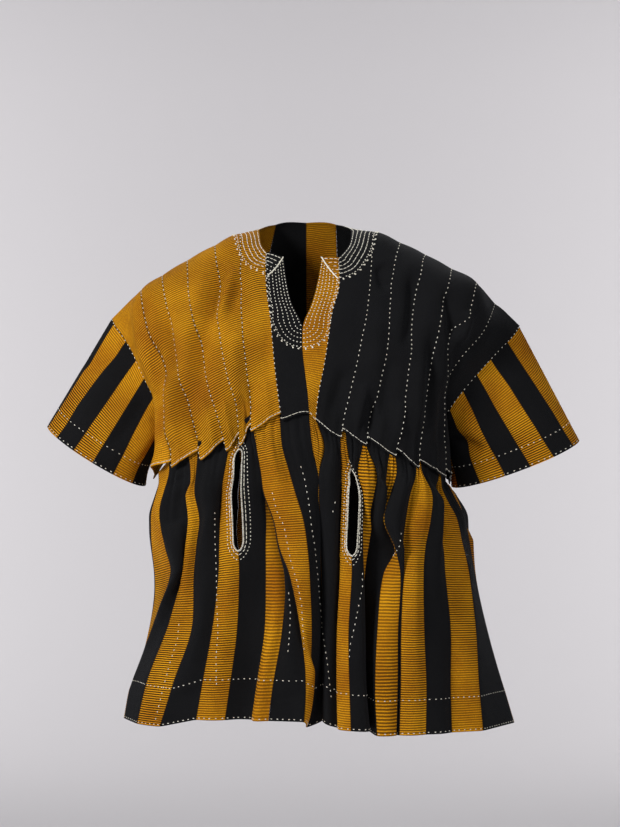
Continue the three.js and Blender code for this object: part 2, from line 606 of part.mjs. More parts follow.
// One closed ring of the skirt, sampled evenly along every strip and smoothed
function skirtRing(row) {
  const seams = frontSeams.map((seam) => frontSeamPoint(seam, row));
  seams.push(...backSeamPoints(row));
  let ring = [];
  seams.forEach((a, i) => {
    const b = seams[(i + 1) % seams.length];
    const strip = FRONT_STRIPS[i];
    const fold = strip ? strip.fold : [BACK_WAIST_FOLD, BACK_HEM_FOLD * (i % 2 === 0 ? 1 : -1)];
    const sign = mix(fold[0], fold[1], smoothStep((row - FOLD_TURN_START) / FOLD_TURN_LENGTH));
    ring.push(...foldPoints(a, b, sign, growthAt((a.x + b.x) / 2, (a.z + b.z) / 2)));
  });
  for (let pass = 0; pass < SMOOTHING_PASSES; pass += 1) {
    ring = ring.map((point, i) => {
      const before = ring[(i + ring.length - 1) % ring.length];
      const after = ring[(i + 1) % ring.length];
      return point.clone().multiplyScalar(0.5).addScaledVector(before, 0.25).addScaledVector(after, 0.25);
    });
  }
  return ring;
}

// Half width of a pocket slit at a row, or nothing where the seam is sewn
function slitHalfGap(strip, row) {
  const slit = POCKET_SLITS.find((one) => one.strip === strip);
  if (!slit) return 0;
  const away = (row - slit.middle) / slit.half;
  return SLIT_HALF_GAP * Math.sqrt(Math.max(0, 1 - away * away));
}

function buildSkirt() {
  const rings = SKIRT_ROWS.map(skirtRing).reverse();
  const rowOrder = [...SKIRT_ROWS].reverse();
  const count = FRONT_STRIPS.length + BACK_STRIPS;
  for (let strip = 0; strip < count; strip += 1) {
    const step = strip < FRONT_STRIPS.length ? SKIRT_SAMPLES / 4 : SKIRT_SAMPLES / 2;
    const grid = rings.map((ring) => {
      const row = [];
      for (let i = 0; i <= SKIRT_SAMPLES; i += step) {
        row.push(ring[(strip * SKIRT_SAMPLES + i) % ring.length]);
      }
      return row;
    });
    const isBlack = strip % 2 === 0;
    const number = String(strip + 1).padStart(2, '0');
    const name = `skirt_${isBlack ? 'black' : 'gold'}_${number}`;
    addSheet(name, grid, isBlack ? BLACK : GOLD, {
      left: (i) => SEAM_GAP / 2 + slitHalfGap(strip - 1, rowOrder[i]),
      right: (i) => SEAM_GAP / 2 + slitHalfGap(strip, rowOrder[i]),
    });
  }
}

// Outward direction at each point of a grid
function gridNormals(grid) {
  return grid.map((row, i) => row.map((point, j) => {
    const up = grid[Math.min(grid.length - 1, i + 1)][j];
    const down = grid[Math.max(0, i - 1)][j];
    const right = row[Math.min(row.length - 1, j + 1)];
    const left = row[Math.max(0, j - 1)];
    return right.clone().sub(left).cross(up.clone().sub(down)).normalize();
  }));
}

const keyOf = (point) => [point.x, point.y, point.z].map((value) => `${Math.round(value * 100)}`).join(' ');

// Pieces that share a seam point share one outward direction there, so their edges stay parallel
function shareNormals() {
  const sums = new Map();
  for (const sheet of sheets) {
    sheet.normals = gridNormals(sheet.grid);
    sheet.grid.forEach((row, i) => row.forEach((point, j) => {
      const sum = sums.get(keyOf(point)) ?? vec(0, 0, 0);
      sums.set(keyOf(point), sum.add(sheet.normals[i][j]));
    }));
  }
  for (const sheet of sheets) {
    const own = sheet.normals;
    sheet.normals = sheet.grid.map((row, i) => row.map((point, j) => {
      const shared = sums.get(keyOf(point)).clone().normalize();
      const isSharp = sheet.edges !== 'shared' && shared.dot(own[i][j]) < SHARPEST_SHARED_EDGE;
      return isSharp ? own[i][j] : shared;
    }));
    if (sheet.edges !== 'even') continue;
    sheet.normals[0] = sheet.normals[1];
    sheet.normals[sheet.normals.length - 1] = sheet.normals[sheet.normals.length - 2];
  }
}

const sizeOf = (trim, i) => (typeof trim === 'function' ? trim(i) : trim ?? 0);
function towards(from, to, distance) {
  return from.clone().addScaledVector(to.clone().sub(from).normalize(), distance);
}

// The grid with its sewn edges drawn in by half the seam gap
function trimmedGrid(grid, trims) {
  const trimmed = grid.map((row, i) => {
    const next = [...row];
    const last = row.length - 1;
    if (trims.left) next[0] = towards(row[0], row[1], sizeOf(trims.left, i));
    if (trims.right) next[last] = towards(row[last], row[last - 1], sizeOf(trims.right, i));
    return next;
  });
  if (trims.start) {
    trimmed[0] = trimmed[0].map((point, j) => towards(point, trimmed[1][j], sizeOf(trims.start, j)));
  }
  return trimmed;
}

// A closed wall round a grid of points: outer face, inner face and four edges
function wallGeometry(grid, normals) {
  const rows = grid.length;
  const columns = grid[0].length;
  const positions = [];
  for (const side of [0.5, -0.5]) {
    grid.forEach((row, i) => row.forEach((point, j) => {
      const moved = point.clone().addScaledVector(normals[i][j], side * WALL);
      positions.push(moved.x, moved.y, moved.z);
    }));
  }
  const outer = (i, j) => i * columns + j;
  const inner = (i, j) => rows * columns + i * columns + j;
  const faces = [];
  const quad = (a, b, c, d) => faces.push(a, b, c, a, c, d);
  for (let i = 0; i + 1 < rows; i += 1) {
    for (let j = 0; j + 1 < columns; j += 1) {
      quad(outer(i, j), outer(i, j + 1), outer(i + 1, j + 1), outer(i + 1, j));
      quad(inner(i, j), inner(i + 1, j), inner(i + 1, j + 1), inner(i, j + 1));
    }
    const end = columns - 1;
    quad(outer(i, 0), outer(i + 1, 0), inner(i + 1, 0), inner(i, 0));
    quad(outer(i, end), inner(i, end), inner(i + 1, end), outer(i + 1, end));
  }
  for (let j = 0; j + 1 < columns; j += 1) {
    const end = rows - 1;
    quad(outer(0, j), inner(0, j), inner(0, j + 1), outer(0, j + 1));
    quad(outer(end, j), outer(end, j + 1), inner(end, j + 1), inner(end, j));
  }
  return meshGeometry(positions, faces);
}

function meshGeometry(positions, faces) {
  const geometry = new THREE.BufferGeometry();
  geometry.setAttribute('position', new THREE.Float32BufferAttribute(positions, 3));
  geometry.setIndex(faces);
  geometry.computeVertexNormals();
  return geometry;
}

// A closed cord along a loop of points; normals tell which way is out of the cloth
function loopCord(points, normals) {
  const positions = [];
  const faces = [];
  const count = points.length;
  points.forEach((point, i) => {
    const before = points[(i + count - 1) % count];
    const after = points[(i + 1) % count];
    const along = after.clone().sub(before).normalize();
    const side = along.clone().cross(normals[i]).normalize();
    const out = side.clone().cross(along).normalize();
    for (let k = 0; k < POCKET_CORD_SIDES; k += 1) {
      const turn = 2 * Math.PI * k / POCKET_CORD_SIDES;
      const ring = point.clone()
        .addScaledVector(side, POCKET_CORD_RADIUS * Math.cos(turn))
        .addScaledVector(out, POCKET_CORD_RADIUS * Math.sin(turn));
      positions.push(ring.x, ring.y, ring.z);
    }
  });
  for (let i = 0; i < count; i += 1) {
    const next = (i + 1) % count;
    for (let k = 0; k < POCKET_CORD_SIDES; k += 1) {
      const k2 = (k + 1) % POCKET_CORD_SIDES;
      const a = i * POCKET_CORD_SIDES + k;
      const b = i * POCKET_CORD_SIDES + k2;
      const c = next * POCKET_CORD_SIDES + k2;
      const d = next * POCKET_CORD_SIDES + k;
      faces.push(a, c, b, a, d, c);
    }
  }
  return meshGeometry(positions, faces);
}

// The overcast edge round each pocket slit, lying on the two strips beside it
function pocketCord(slit) {
  const before = sheets.find((sheet) => sheet.name.endsWith(`_${String(slit.strip + 1).padStart(2, '0')}`));
  const after = sheets.find((sheet) => sheet.name.endsWith(`_${String(slit.strip + 2).padStart(2, '0')}`));
  const lift = WALL / 2 + 2 * SEAM_GAP + POCKET_CORD_RADIUS;
  const rowIndex = (row) => SKIRT_ROWS.length - 1 - row;
  const points = [];
  const normals = [];
  const addPoint = (sheet, row, column) => {
    const normal = sheet.normals[row][column];
    points.push(sheet.trimmed[row][column].clone().addScaledVector(normal, lift));
    normals.push(normal);
  };
  const lastColumn = before.grid[0].length - 1;
  addPoint(before, rowIndex(slit.firstRow - 1), lastColumn);
  for (let row = slit.firstRow; row <= slit.lastRow; row += 1) addPoint(before, rowIndex(row), lastColumn);
  addPoint(after, rowIndex(slit.lastRow + 1), 0);
  for (let row = slit.lastRow; row >= slit.firstRow; row -= 1) addPoint(after, rowIndex(row), 0);
  return loopCord(points, normals);
}

function addMesh(group, name, geometry, finish) {
  const mesh = new THREE.Mesh(geometry, new THREE.MeshStandardMaterial(finish));
  mesh.name = name;
  group.add(mesh);
}

const smock = new THREE.Group();
buildBodice();
buildSkirt();
shareNormals();
for (const sheet of sheets) {
  sheet.trimmed = trimmedGrid(sheet.grid, sheet.trims);
  addMesh(smock, sheet.name, wallGeometry(sheet.trimmed, sheet.normals), sheet.finish);
}
for (const slit of POCKET_SLITS) addMesh(smock, slit.name, pocketCord(slit), THREAD);

export default smock;
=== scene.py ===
"""Dressed model of a fugu smock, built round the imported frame.

Tables and shape work are in millimetres, in the frame's own axes: +Z up, the front towards
-Y and the wearer's left towards +X. Meshes are written in metres.
"""

import json
import logging
import math
from dataclasses import dataclass, field
from enum import Enum
from typing import Any, Sequence, Union

import bpy
import numpy as np
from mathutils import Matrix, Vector

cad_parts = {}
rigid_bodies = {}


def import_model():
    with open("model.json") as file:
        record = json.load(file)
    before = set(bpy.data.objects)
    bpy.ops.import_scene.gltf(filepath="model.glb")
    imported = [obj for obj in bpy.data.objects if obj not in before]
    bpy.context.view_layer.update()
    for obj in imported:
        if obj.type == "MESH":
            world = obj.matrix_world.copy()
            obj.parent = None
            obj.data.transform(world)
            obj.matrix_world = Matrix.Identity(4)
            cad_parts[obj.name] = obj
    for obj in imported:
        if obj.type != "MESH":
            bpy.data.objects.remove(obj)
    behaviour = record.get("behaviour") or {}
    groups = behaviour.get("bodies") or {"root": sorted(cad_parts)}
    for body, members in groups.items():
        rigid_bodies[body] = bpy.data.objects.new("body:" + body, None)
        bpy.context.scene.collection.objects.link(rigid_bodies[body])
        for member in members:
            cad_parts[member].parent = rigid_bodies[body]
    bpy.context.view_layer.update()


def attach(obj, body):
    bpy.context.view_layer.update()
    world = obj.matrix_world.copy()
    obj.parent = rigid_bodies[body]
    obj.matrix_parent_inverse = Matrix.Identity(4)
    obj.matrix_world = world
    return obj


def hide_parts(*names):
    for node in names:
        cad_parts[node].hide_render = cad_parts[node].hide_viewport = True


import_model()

LOG = logging.getLogger("smock")
MM = 0.001
WALL = 1.5
STRIP_WIDTH = 46.0
SKIRT_STRIP_WIDTH = 50.0
SMOOTH_ANGLE = 55
Numbers = Union[float, np.ndarray]


def array_of(*rows: tuple) -> np.ndarray:
    """Rows of a table as decimal numbers."""
    return np.array(rows, float)


def columns(names: str, rows: Sequence[tuple]) -> dict[str, np.ndarray]:
    """Named columns of a table.

    Args:
        names: The columns' names, parted by spaces.
        rows: One tuple for each row.

    Returns:
        One array for each name.
    """
    return {name: np.array(column, float) for name, column in zip(names.split(), zip(*rows))}


class Side(Enum):
    """The front or the back of the garment."""

    FRONT = ("front", -1)
    BACK = ("back", 1)

    @property
    def column(self) -> str:
        """Name of the form's column for this side."""
        return self.value[0]

    @property
    def facing(self) -> int:
        """Sign of Y on this side."""
        return self.value[1]


class Hand(Enum):
    """The wearer's right or left half."""

    RIGHT = ("right", -1)
    LEFT = ("left", 1)

    @property
    def word(self) -> str:
        """The half's name."""
        return self.value[0]

    @property
    def sign(self) -> int:
        """Sign of X on this half."""
        return self.value[1]


class Hold(Enum):
    """How a sheet of cloth is held."""

    DRAPED = "draped"
    GATHERED = "gathered"


# Half widths and depths of the garment's rounded section at each height
FORM = columns("z right left front back power", [
    (4, 50, 55, 20, 56, 4), (0, 58, 64, 25, 62, 4), (-12, 82, 90, 38, 72, 4),
    (-23, 107, 118, 46, 80, 4), (-39, 140, 154, 55, 89, 4), (-55, 169, 186, 63, 96, 4),
    (-76, 204, 224, 74, 104, 4), (-98, 238, 262, 84, 112, 4), (-120, 262, 275, 92, 119, 4),
    (-150, 268, 262, 105, 124, 4), (-180, 262, 240, 116, 128, 4), (-220, 252, 226, 127, 131, 4),
    (-260, 242, 220, 137, 134, 4), (-300, 234, 216, 143, 136, 4), (-385, 226, 214, 148, 142, 3.8),
    (-410, 229, 232, 149, 143, 3.6), (-480, 230, 243, 152, 147, 3.1), (-560, 226, 259, 158, 153, 2.7),
    (-630, 240, 277, 163, 158, 2.5), (-700, 265, 298, 168, 163, 2.4), (-760, 276, 316, 172, 166, 2.4),
])
SHOULDER_FOOT = -120

# Bodice seams from the middle outwards: where each crosses the shoulder, its distance from the
# middle at the seam levels, and the lower edges of the strips outside and inside it
SEAM_LEVELS = [-60, -100, -140, -180, -220, -260, -300, -340]
SEAMS = {
    Hand.LEFT: [
        (68, [48, 49, 39, 33, 26, 18, 14, 14], -297, -299),
        (100, [97, 94, 89, 81, 73, 64, 54, 51], -311, -323),
        (140, [132, 126, 122, 119, 113, 104, 92, 87], -323, -334),
        (178, [173, 168, 162, 157, 149, 144, 138, 131], -340, -350),
        (216, [215, 209, 199, 192, 185, 178, 170, 164], -356, -367),
        (253, [253, 250, 238, 209, 207, 207, 206, 204], -370, -381),
    ],
    Hand.RIGHT: [
        (68, [59, 58, 53, 49, 45, 40, 35, 35], -288, -297),
        (98, [96, 96, 94, 90, 86, 82, 80, 80], -304, -314),
        (135, [133, 131, 130, 124, 115, 104, 98, 96], -318, -334),
        (176, [175, 172, 164, 158, 152, 138, 124, 115], -326, -342),
        (213, [212, 210, 202, 196, 188, 177, 167, 156], -341, -355),
        (244, [244, 242, 237, 226, 210, 203, 200, 195], -357, -366),
    ],
}
TURNED_SEAM = array_of(
    (283, 0, -123), (270, -46, -150), (257, -63, -172), (228, -80, -204), (206, -78, -240),
    (197, -72, -290), (204, -67, -335), (211, -62, -382),
)
TURNED_SEAM_TOOTH = -391
ARMHOLE_EDGES = {
    Hand.LEFT: array_of(
        (320, 0, -156), (309, -16, -171), (294, -27, -186), (270, -42, -210), (241, -55, -242),
        (217, -59, -273), (205, -42, -303), (203, 0, -331),
    ),
    Hand.RIGHT: array_of(
        (291, 0, -146), (284, -17, -158), (272, -29, -173), (257, -40, -197), (241, -50, -230),
        (225, -54, -265), (211, -42, -298), (207, 0, -325),
    ),
}
SIDE_SEAMS = {
    Hand.LEFT: array_of((203, 0, -331), (206, 0, -358), (213, 0, -386)),
    Hand.RIGHT: array_of((207, 0, -325), (211, 0, -354), (229, 0, -385)),
}
NECK_EDGES = {
    (Hand.LEFT, Side.FRONT): array_of((68, 0, -14), (67, -22, -24), (63, -40, -40), (49, -60, -57)),
    (Hand.LEFT, Side.BACK): array_of((68, 0, -14), (64, 26, -8), (56, 45, -3), (46, 57, 0)),
    (Hand.RIGHT, Side.FRONT): array_of((70, 0, -13), (68, -24, -29), (65, -40, -40), (58, -52, -49)),
    (Hand.RIGHT, Side.BACK): array_of((70, 0, -13), (66, 26, -8), (57, 45, -3), (46, 57, 0)),
}
# How far each bodice strip swells between its seams, from the middle outwards
PUFFS = {Hand.LEFT: [2.5, 3, 4, 3, 3, 4, 3], Hand.RIGHT: [2.5, 3, 4, 3, 4, 17]}

# The middle seam and the slit above it, by place along the bodice's seams
NECK_CORNER = 0.2236
UNDERARM = 0.81
MIDDLE_PLACES = [1, 0.92, 0.81, 0.69, 0.57, 0.45, 0.33, 0.2236]
MIDDLE_HEIGHTS = [-288, -262, -230, -195, -158, -128, -95, -57]
MIDDLE_X = {
    Hand.LEFT: [5, 3, -1, -5, -4, 8, 17, 23],
    Hand.RIGHT: [5, 3, -1, -5, -6, -20, -28, -33],
}
SLIT_FOOT_PLACE = 0.57
BACK_MIDDLE = (-288, 3)

# Front skirt seams from the wearer's right side to the left side: x at the skirt levels, how
# far the seam lies in from the form, and the side each strip folds to at the waist and the hem
SKIRT_LEVELS = [-300, -335, -370, -400, -440, -480, -520, -600, -680, -745]
INSET_LEVELS = [-385, -412, -498, -613, -745]
FIRST_SEAM = ([-204, -204, -204, -211, -214, -205, -196, -226, -258, -271], [0, 0, 0, 0, 0])
FRONT_STRIPS = [
    ([-184, -174, -166, -166, -173, -180, -186, -203, -232, -248], [0, 12, 15, 0, 0], (1, 0.6)),
    ([-158, -158, -160, -160, -154, -161, -165, -162, -190, -213], [0, 0, 10, -5, 0], (0.6, 0.6)),
    ([-99, -110, -116, -121, -124, -125, -126, -135, -150, -162], [0, 8, 5, 0, 5], (1, 0.6)),
    ([-93, -96, -99, -100, -98, -97, -96, -100, -111, -121], [0, -5, 0, 5, 10], (0.4, 0.6)),
    ([-77, -70, -63, -59, -57, -58, -58, -59, -71, -81], [0, 8, 12, 12, 18], (0.4, -0.6)),
    ([-74, -67, -60, -55, -43, -35, -28, -34, -48, -56], [0, 14, 14, 4, 5], (0, 0.8)),
    ([-76, -72, -66, -62, -47, -38, -22, -6, 0, -3], [0, -3, -3, 2, -8], (0, 0.6)),
    ([-37, -34, -24, -15, -3, 3, 6, 8, 2, 0], [0, -12, -15, 0, 45], (0.8, 0.6)),
    ([6, 10, 18, 22, 25, 26, 27, 28, 29, 29], [0, 8, 28, 42, 50], (0.5, 0.3)),
    ([16, 27, 19, 18, 20, 21, 22, 23, 24, 24], [0, 0, 12, 24, 32], (0.3, -0.6)),
    ([52, 50, 51, 52, 51, 51, 51, 49, 47, 48], [0, 10, 15, 20, 22], (0.8, 0.6)),
    ([55, 59, 66, 69, 68, 66, 66, 61, 62, 64], [0, -5, -5, -8, -12], (0.4, 0.6)),
    ([81, 82, 74, 80, 81, 81, 83, 86, 87, 93], [0, 5, 5, 5, 5], (0.4, 0.8)),
    ([85, 87, 102, 98, 90, 84, 80, 80, 82, 88], [0, 5, 30, 50, 55], (0.6, -0.4)),
    ([123, 124, 117, 114, 119, 135, 114, 102, 98, 101], [0, 12, 14, -5, -5], (0.8, -0.5)),
    ([126, 127, 131, 122, 112, 128, 137, 133, 132, 130], [0, 0, 0, 0, 0], (0, 0.4)),
    ([158, 161, 162, 151, 144, 139, 140, 136, 135, 133], [0, 5, 4, 0, 0], (1, -1)),
    ([161, 165, 169, 182, 180, 172, 169, 170, 173, 172], [0, 0, 0, 0, 0], (0.6, 0.6)),
    ([200, 201, 202, 197, 194, 204, 207, 214, 212, 213], [0, 12, 10, 8, 8], (0.8, 0.6)),
    ([204, 205, 204, 204, 220, 230, 240, 249, 252, 257], [0, 0, 0, 0, 0], (0.4, 0.6)),
    ([206, 209, 212, 220, 233, 243, 255, 274, 298, 318], [0, 0, 0, 0, 0], (0.3, 0.6)),
]
# Height of the skirt's upper edge and of its hem over x
SKIRT_TOP = columns("x z", [
    (-226, -374), (-210, -360), (-192, -343), (-156, -327), (-115, -311), (-81, -290), (-39, -275),
    (0, -271), (16, -280), (51, -297), (87, -309), (131, -326), (165, -342), (192, -354),
    (205, -368), (212, -376),
])
HEM = columns("x z", [
    (-272, -736), (-168, -741), (-127, -740), (-119, -728), (-58, -727), (-54, -741), (-3, -742), (2, -730),
    (44, -729), (50, -739), (92, -742), (101, -748), (208, -748), (251, -750), (311, -745),
])


@dataclass(frozen=True)
class PocketSlit:
    """A skirt seam left open for a pocket.

    strip is the strip before the open seam; middle and half are shares of the skirt's drop.
    """

    word: str
    strip: int
    middle: float
    half: float
    reach: float
    drop: float = 430.0

    def half_gap(self, row: Numbers, extra: float = 0.0) -> Numbers:
        """Half the slit's width at a row, or that of a loop round it.

        Args:
            row: Share of the skirt's drop.
            extra: How far outside the slit the loop lies, in millimetres.

        Returns:
            The half width in millimetres, nothing past the loop's ends.
        """
        straight = self.half * self.drop - 2 * self.reach
        past = np.clip(np.abs(row - self.middle) * self.drop - straight, 0, None) / (2 * self.reach + extra)
        return (self.reach + extra) * np.sqrt(np.clip(1 - past * past, 0, None))


POCKET_SLITS = [PocketSlit("right", 3, 0.262, 0.17, 7.5), PocketSlit("left", 11, 0.293, 0.142, 8.0)]


def smooth_step(t: Numbers) -> Numbers:
    """Eased rise from 0 to 1."""
    t = np.clip(t, 0, 1)
    return t * t * (3 - 2 * t)


def mix(a: Numbers, b: Numbers, t: Numbers) -> Numbers:
    """Value between a and b."""
    return a + (b - a) * t


def smooth_at(stations: Sequence[float], values: Sequence[float], where: Numbers) -> Numbers:
    """Smooth value through a table's stations, level past its ends.

    Args:
        stations: Places of the values, rising or falling.
        values: One value at each station.
        where: The places asked for.

    Returns:
        The values there.
    """
    stations = np.asarray(stations, float)
    values = np.asarray(values, float)
    if stations[0] > stations[-1]:
        stations, values = stations[::-1], values[::-1]
    where = np.clip(where, stations[0], stations[-1])
    order = np.arange(len(stations))
    before = np.clip(order - 1, 0, None)
    after = np.clip(order + 1, None, len(stations) - 1)
    slopes = (values[after] - values[before]) / (stations[after] - stations[before])
    i = np.clip(np.searchsorted(stations, where, side="right") - 1, 0, len(stations) - 2)
    span = stations[i + 1] - stations[i]
    t = (where - stations[i]) / span
    rise = values[i] * (1 + 2 * t) * (1 - t) ** 2 + values[i + 1] * t * t * (3 - 2 * t)
    return rise + span * (slopes[i] * t * (1 - t) ** 2 + slopes[i + 1] * t * t * (t - 1))


def form_at(column: str, z: Numbers) -> Numbers:
    """One of the form's sizes at a height."""
    return smooth_at(FORM["z"], FORM[column], z)


def half_width(x: Numbers, z: Numbers) -> Numbers:
    """Half width of the form on the side that x is on."""
    return np.where(np.asarray(x) < 0, form_at("right", z), form_at("left", z))


def section_sizes(x: Numbers, y: Numbers, z: Numbers) -> tuple[Numbers, Numbers, Numbers]:
    """Power, half width and depth of the form's section on the side that x and y are on."""
    depth = np.where(np.asarray(y) < 0, form_at("front", z), form_at("back", z))
    return form_at("power", z), half_width(x, z), depth


def surface_depth(side: Side, x: Numbers, z: Numbers) -> Numbers:
    """Depth of the form's front or back surface at x and z."""
    power = form_at("power", z)
    across = np.clip(np.abs(x) / half_width(x, z), 0, 1)
    return form_at(side.column, z) * (1 - across ** power) ** (1 / power)


def ridge_height(x: float) -> float:
    """Height at which the shoulder line stands over x."""
    heights = np.linspace(FORM["z"][0], SHOULDER_FOOT, 2000)
    return float(np.interp(abs(x), form_at("right" if x < 0 else "left", heights), heights))


def reach_along(points: np.ndarray) -> np.ndarray:
    """Length of a polyline up to each of its points."""
    steps = np.linalg.norm(np.diff(points, axis=0), axis=1)
    return np.concatenate([[0], np.cumsum(steps)])


def along_line(points: np.ndarray, goals: np.ndarray, reach: np.ndarray = None) -> np.ndarray:
    """Rows of a polyline's table at given lengths along it.

    Args:
        points: The polyline's rows, of any width.
        goals: Lengths along it.
        reach: Length up to each row, where it isn't the polyline's own.

    Returns:
        One row for each goal.
    """
    reach = reach_along(points) if reach is None else reach
    return np.stack([np.interp(goals, reach, points[:, k]) for k in range(points.shape[1])], -1)


def smooth_line(controls: np.ndarray, count: int = 161) -> np.ndarray:
    """Smooth curve through a few points."""
    reach = reach_along(controls)
    where = np.linspace(0, reach[-1], count)
    return np.stack([smooth_at(reach, controls[:, k], where) for k in range(3)], -1)


def unit(vectors: np.ndarray) -> np.ndarray:
    """Vectors brought to a length of 1."""
    return vectors / np.maximum(np.linalg.norm(vectors, axis=-1, keepdims=True), 1e-9)


def bilinear(table: np.ndarray, i: np.ndarray, j: np.ndarray) -> np.ndarray:
    """Values of a grid between its rows and columns.

    Args:
        table: Rows by columns by values.
        i: Places along the rows, as decimal row numbers.
        j: Places along the columns.

    Returns:
        One row of values for each place.
    """
    i0 = np.clip(np.floor(i).astype(int), 0, table.shape[0] - 2)
    j0 = np.clip(np.floor(j).astype(int), 0, table.shape[1] - 2)
    s = np.clip(i - i0, 0, 1)[:, None]
    t = np.clip(j - j0, 0, 1)[:, None]
    low = mix(table[i0, j0], table[i0, j0 + 1], t)
    high = mix(table[i0 + 1, j0], table[i0 + 1, j0 + 1], t)
    return mix(low, high, s)


# How far back a seam's end gives its tooth a direction, and where its lower places start to stretch
TOOTH_STEP = 0.08
STRETCH_FROM = 0.6
STRETCH_POWER = 1.5


@dataclass(frozen=True)
class SeamLine:
    """A sewn line down the bodice: place 0 is the shoulder, 1 its notch, and past it its tooth."""

    places: np.ndarray
    points: np.ndarray

    @staticmethod
    def joined(legs: Sequence[tuple[float, float, np.ndarray]], tooth: float = None) -> "SeamLine":
        """A line of several legs, each evenly spaced along its length.

        Args:
            legs: First place, last place and points of each leg.
            tooth: Height to which the line runs on past its notch, if it does.

        Returns:
            The whole line.
        """
        places = []
        points = []
        for first, last, leg in legs:
            reach = reach_along(leg)
            places.append(mix(first, last, reach / reach[-1]))
            points.append(leg)
        line = SeamLine(np.concatenate(places), np.concatenate(points))
        if tooth is None:
            return line
        before, end = line.at(np.array([1 - TOOTH_STEP, 1.0]))
        run = (tooth - end[2]) / (end[2] - before[2])
        tip = end + (end - before) * run
        return SeamLine(np.append(line.places, 1 + TOOTH_STEP * run), np.vstack([line.points, tip]))

    def at(self, places: np.ndarray) -> np.ndarray:
        """Points at places along the line."""
        return along_line(self.points, places, self.places)

    def stretched(self, places: np.ndarray) -> np.ndarray:
        """Points at places, the lower ones drawn on so that the last meets the tooth."""
        ease = np.clip((places - STRETCH_FROM) / (1 - STRETCH_FROM), 0, 1) ** STRETCH_POWER
        return self.at(places + (self.places[-1] - 1) * ease)


@dataclass(frozen=True)
class Crease:
    """A soft trough or ridge pressed into the cloth along a bowed line.

    The ends are x and z on one side of the garment; a trough has a depth below nothing.
    """

    side: Side
    start: tuple[float, float]
    end: tuple[float, float]
    width: float
    depth: float
    bow: float = 0.0
    fade: float = 0.3
    turn_depth: float = 12.0

    def push(self, points: np.ndarray) -> np.ndarray:
        """How far each point moves out of the cloth."""
        start = np.array(self.start)
        run = np.array(self.end) - start
        length = math.hypot(*run)
        along = run / length
        sideways = np.array([-along[1], along[0]])
        flat = points[..., [0, 2]] - start
        s = flat @ along / length
        inside = np.clip(s, 0, 1)
        away = flat @ sideways - self.bow * 4 * inside * (1 - inside)
        ends = smooth_step(s / self.fade) * smooth_step((1 - s) / self.fade)
        on_side = smooth_step(points[..., 1] * self.side.facing / self.turn_depth + 0.5)
        return self.depth * ends * on_side * np.exp(-((away / self.width) ** 2))


def creases_of(table: dict[Side, Sequence[tuple]]) -> list[Crease]:
    """Creases of both sides, from rows of two ends in x and z, width, depth and bow."""
    return [
        Crease(side, (x0, z0), (x1, z1), width, depth, bow)
        for side, rows in table.items() for x0, z0, x1, z1, width, depth, bow in rows
    ]


@dataclass
class Cloth:
    """One strip of cloth, as rows and columns of points in the middle of its wall.

    u and v are its own woven coordinates, across and along the strip.
    """

    points: np.ndarray
    u: np.ndarray
    v: np.ndarray
    centre: np.ndarray
    turned: bool = False

    def __post_init__(self) -> None:
        """Finds which way its columns run, seen from outside."""
        outside = self.points - self.centre
        self.turned = float(np.sum(self.normals * outside)) < 0

    @property
    def normals(self) -> np.ndarray:
        """Outward direction at each point."""
        across = np.gradient(self.points, axis=1)
        down = np.gradient(self.points, axis=0)
        return unit(np.cross(across, down)) * (-1 if self.turned else 1)

    def pushed(self, distance: np.ndarray) -> None:
        """Moves each point along its outward direction."""
        self.points = self.points + self.normals * distance[..., None]

    def creased(self, creases: Sequence[Crease]) -> None:
        """Presses the creases into the strip, away from its centre, as into the strips beside it."""
        total = sum((crease.push(self.points) for crease in creases), np.zeros(self.points.shape[:2]))
        self.points = self.points + unit(self.points - self.centre) * total[..., None]

    def path(self, i: np.ndarray, j: np.ndarray) -> np.ndarray:
        """Points and outward directions along a line on the strip, six numbers a row."""
        return bilinear(np.concatenate([self.points, self.normals], -1), i, j)

    def column(self, share: float) -> np.ndarray:
        """The line down the strip at a share of its width."""
        rows, count = self.points.shape[:2]
        return self.path(np.arange(rows, dtype=float), np.full(rows, share * (count - 1)))

    def row_at(self, distance: float, from_last: bool = False) -> np.ndarray:
        """The line across the strip at a length in from its first or last row.

        Args:
            distance: Length along the strip, in millimetres.
            from_last: Whether it is measured from the last row.

        Returns:
            The line's points and outward directions.
        """
        count = self.points.shape[1]
        places = []
        for j in range(count):
            line = self.points[::-1, j] if from_last else self.points[:, j]
            i = np.interp(distance, reach_along(line), np.arange(len(line)))
            places.append(len(line) - 1 - i if from_last else i)
        return self.path(np.array(places), np.arange(count, dtype=float))


def across(lines: Sequence[np.ndarray], t: np.ndarray, roundness: float = 1.0) -> np.ndarray:
    """Points from one line to the next, curved to agree with the lines beyond them.

    Args:
        lines: The line before, the two that bound the strip, and the line after.
        t: Shares of the way across.
        roundness: 1 for the full curve, 0 for a straight one.

    Returns:
        Rows by columns of points.
    """
    before, a, b, after = [line[:, None, :] for line in lines]
    chord = np.linalg.norm(b - a, axis=-1, keepdims=True)
    start = mix(b - a, unit(unit(b - a) + unit(a - before)) * chord, roundness)
    finish = mix(b - a, unit(unit(after - b) + unit(b - a)) * chord, roundness)
    t = t[None, :, None]
    rise = a * (1 + 2 * t) * (1 - t) ** 2 + b * t * t * (3 - 2 * t)
    return rise + start * t * (1 - t) ** 2 + finish * t * t * (t - 1)


def link(obj: bpy.types.Object) -> bpy.types.Object:
    """Puts a new object in the scene."""
    bpy.context.scene.collection.objects.link(obj)
    return obj


def select_only(obj: bpy.types.Object) -> None:
    """Makes one object the only selected and active one."""
    bpy.ops.object.select_all(action="DESELECT")
    obj.select_set(True)
    bpy.context.view_layer.objects.active = obj


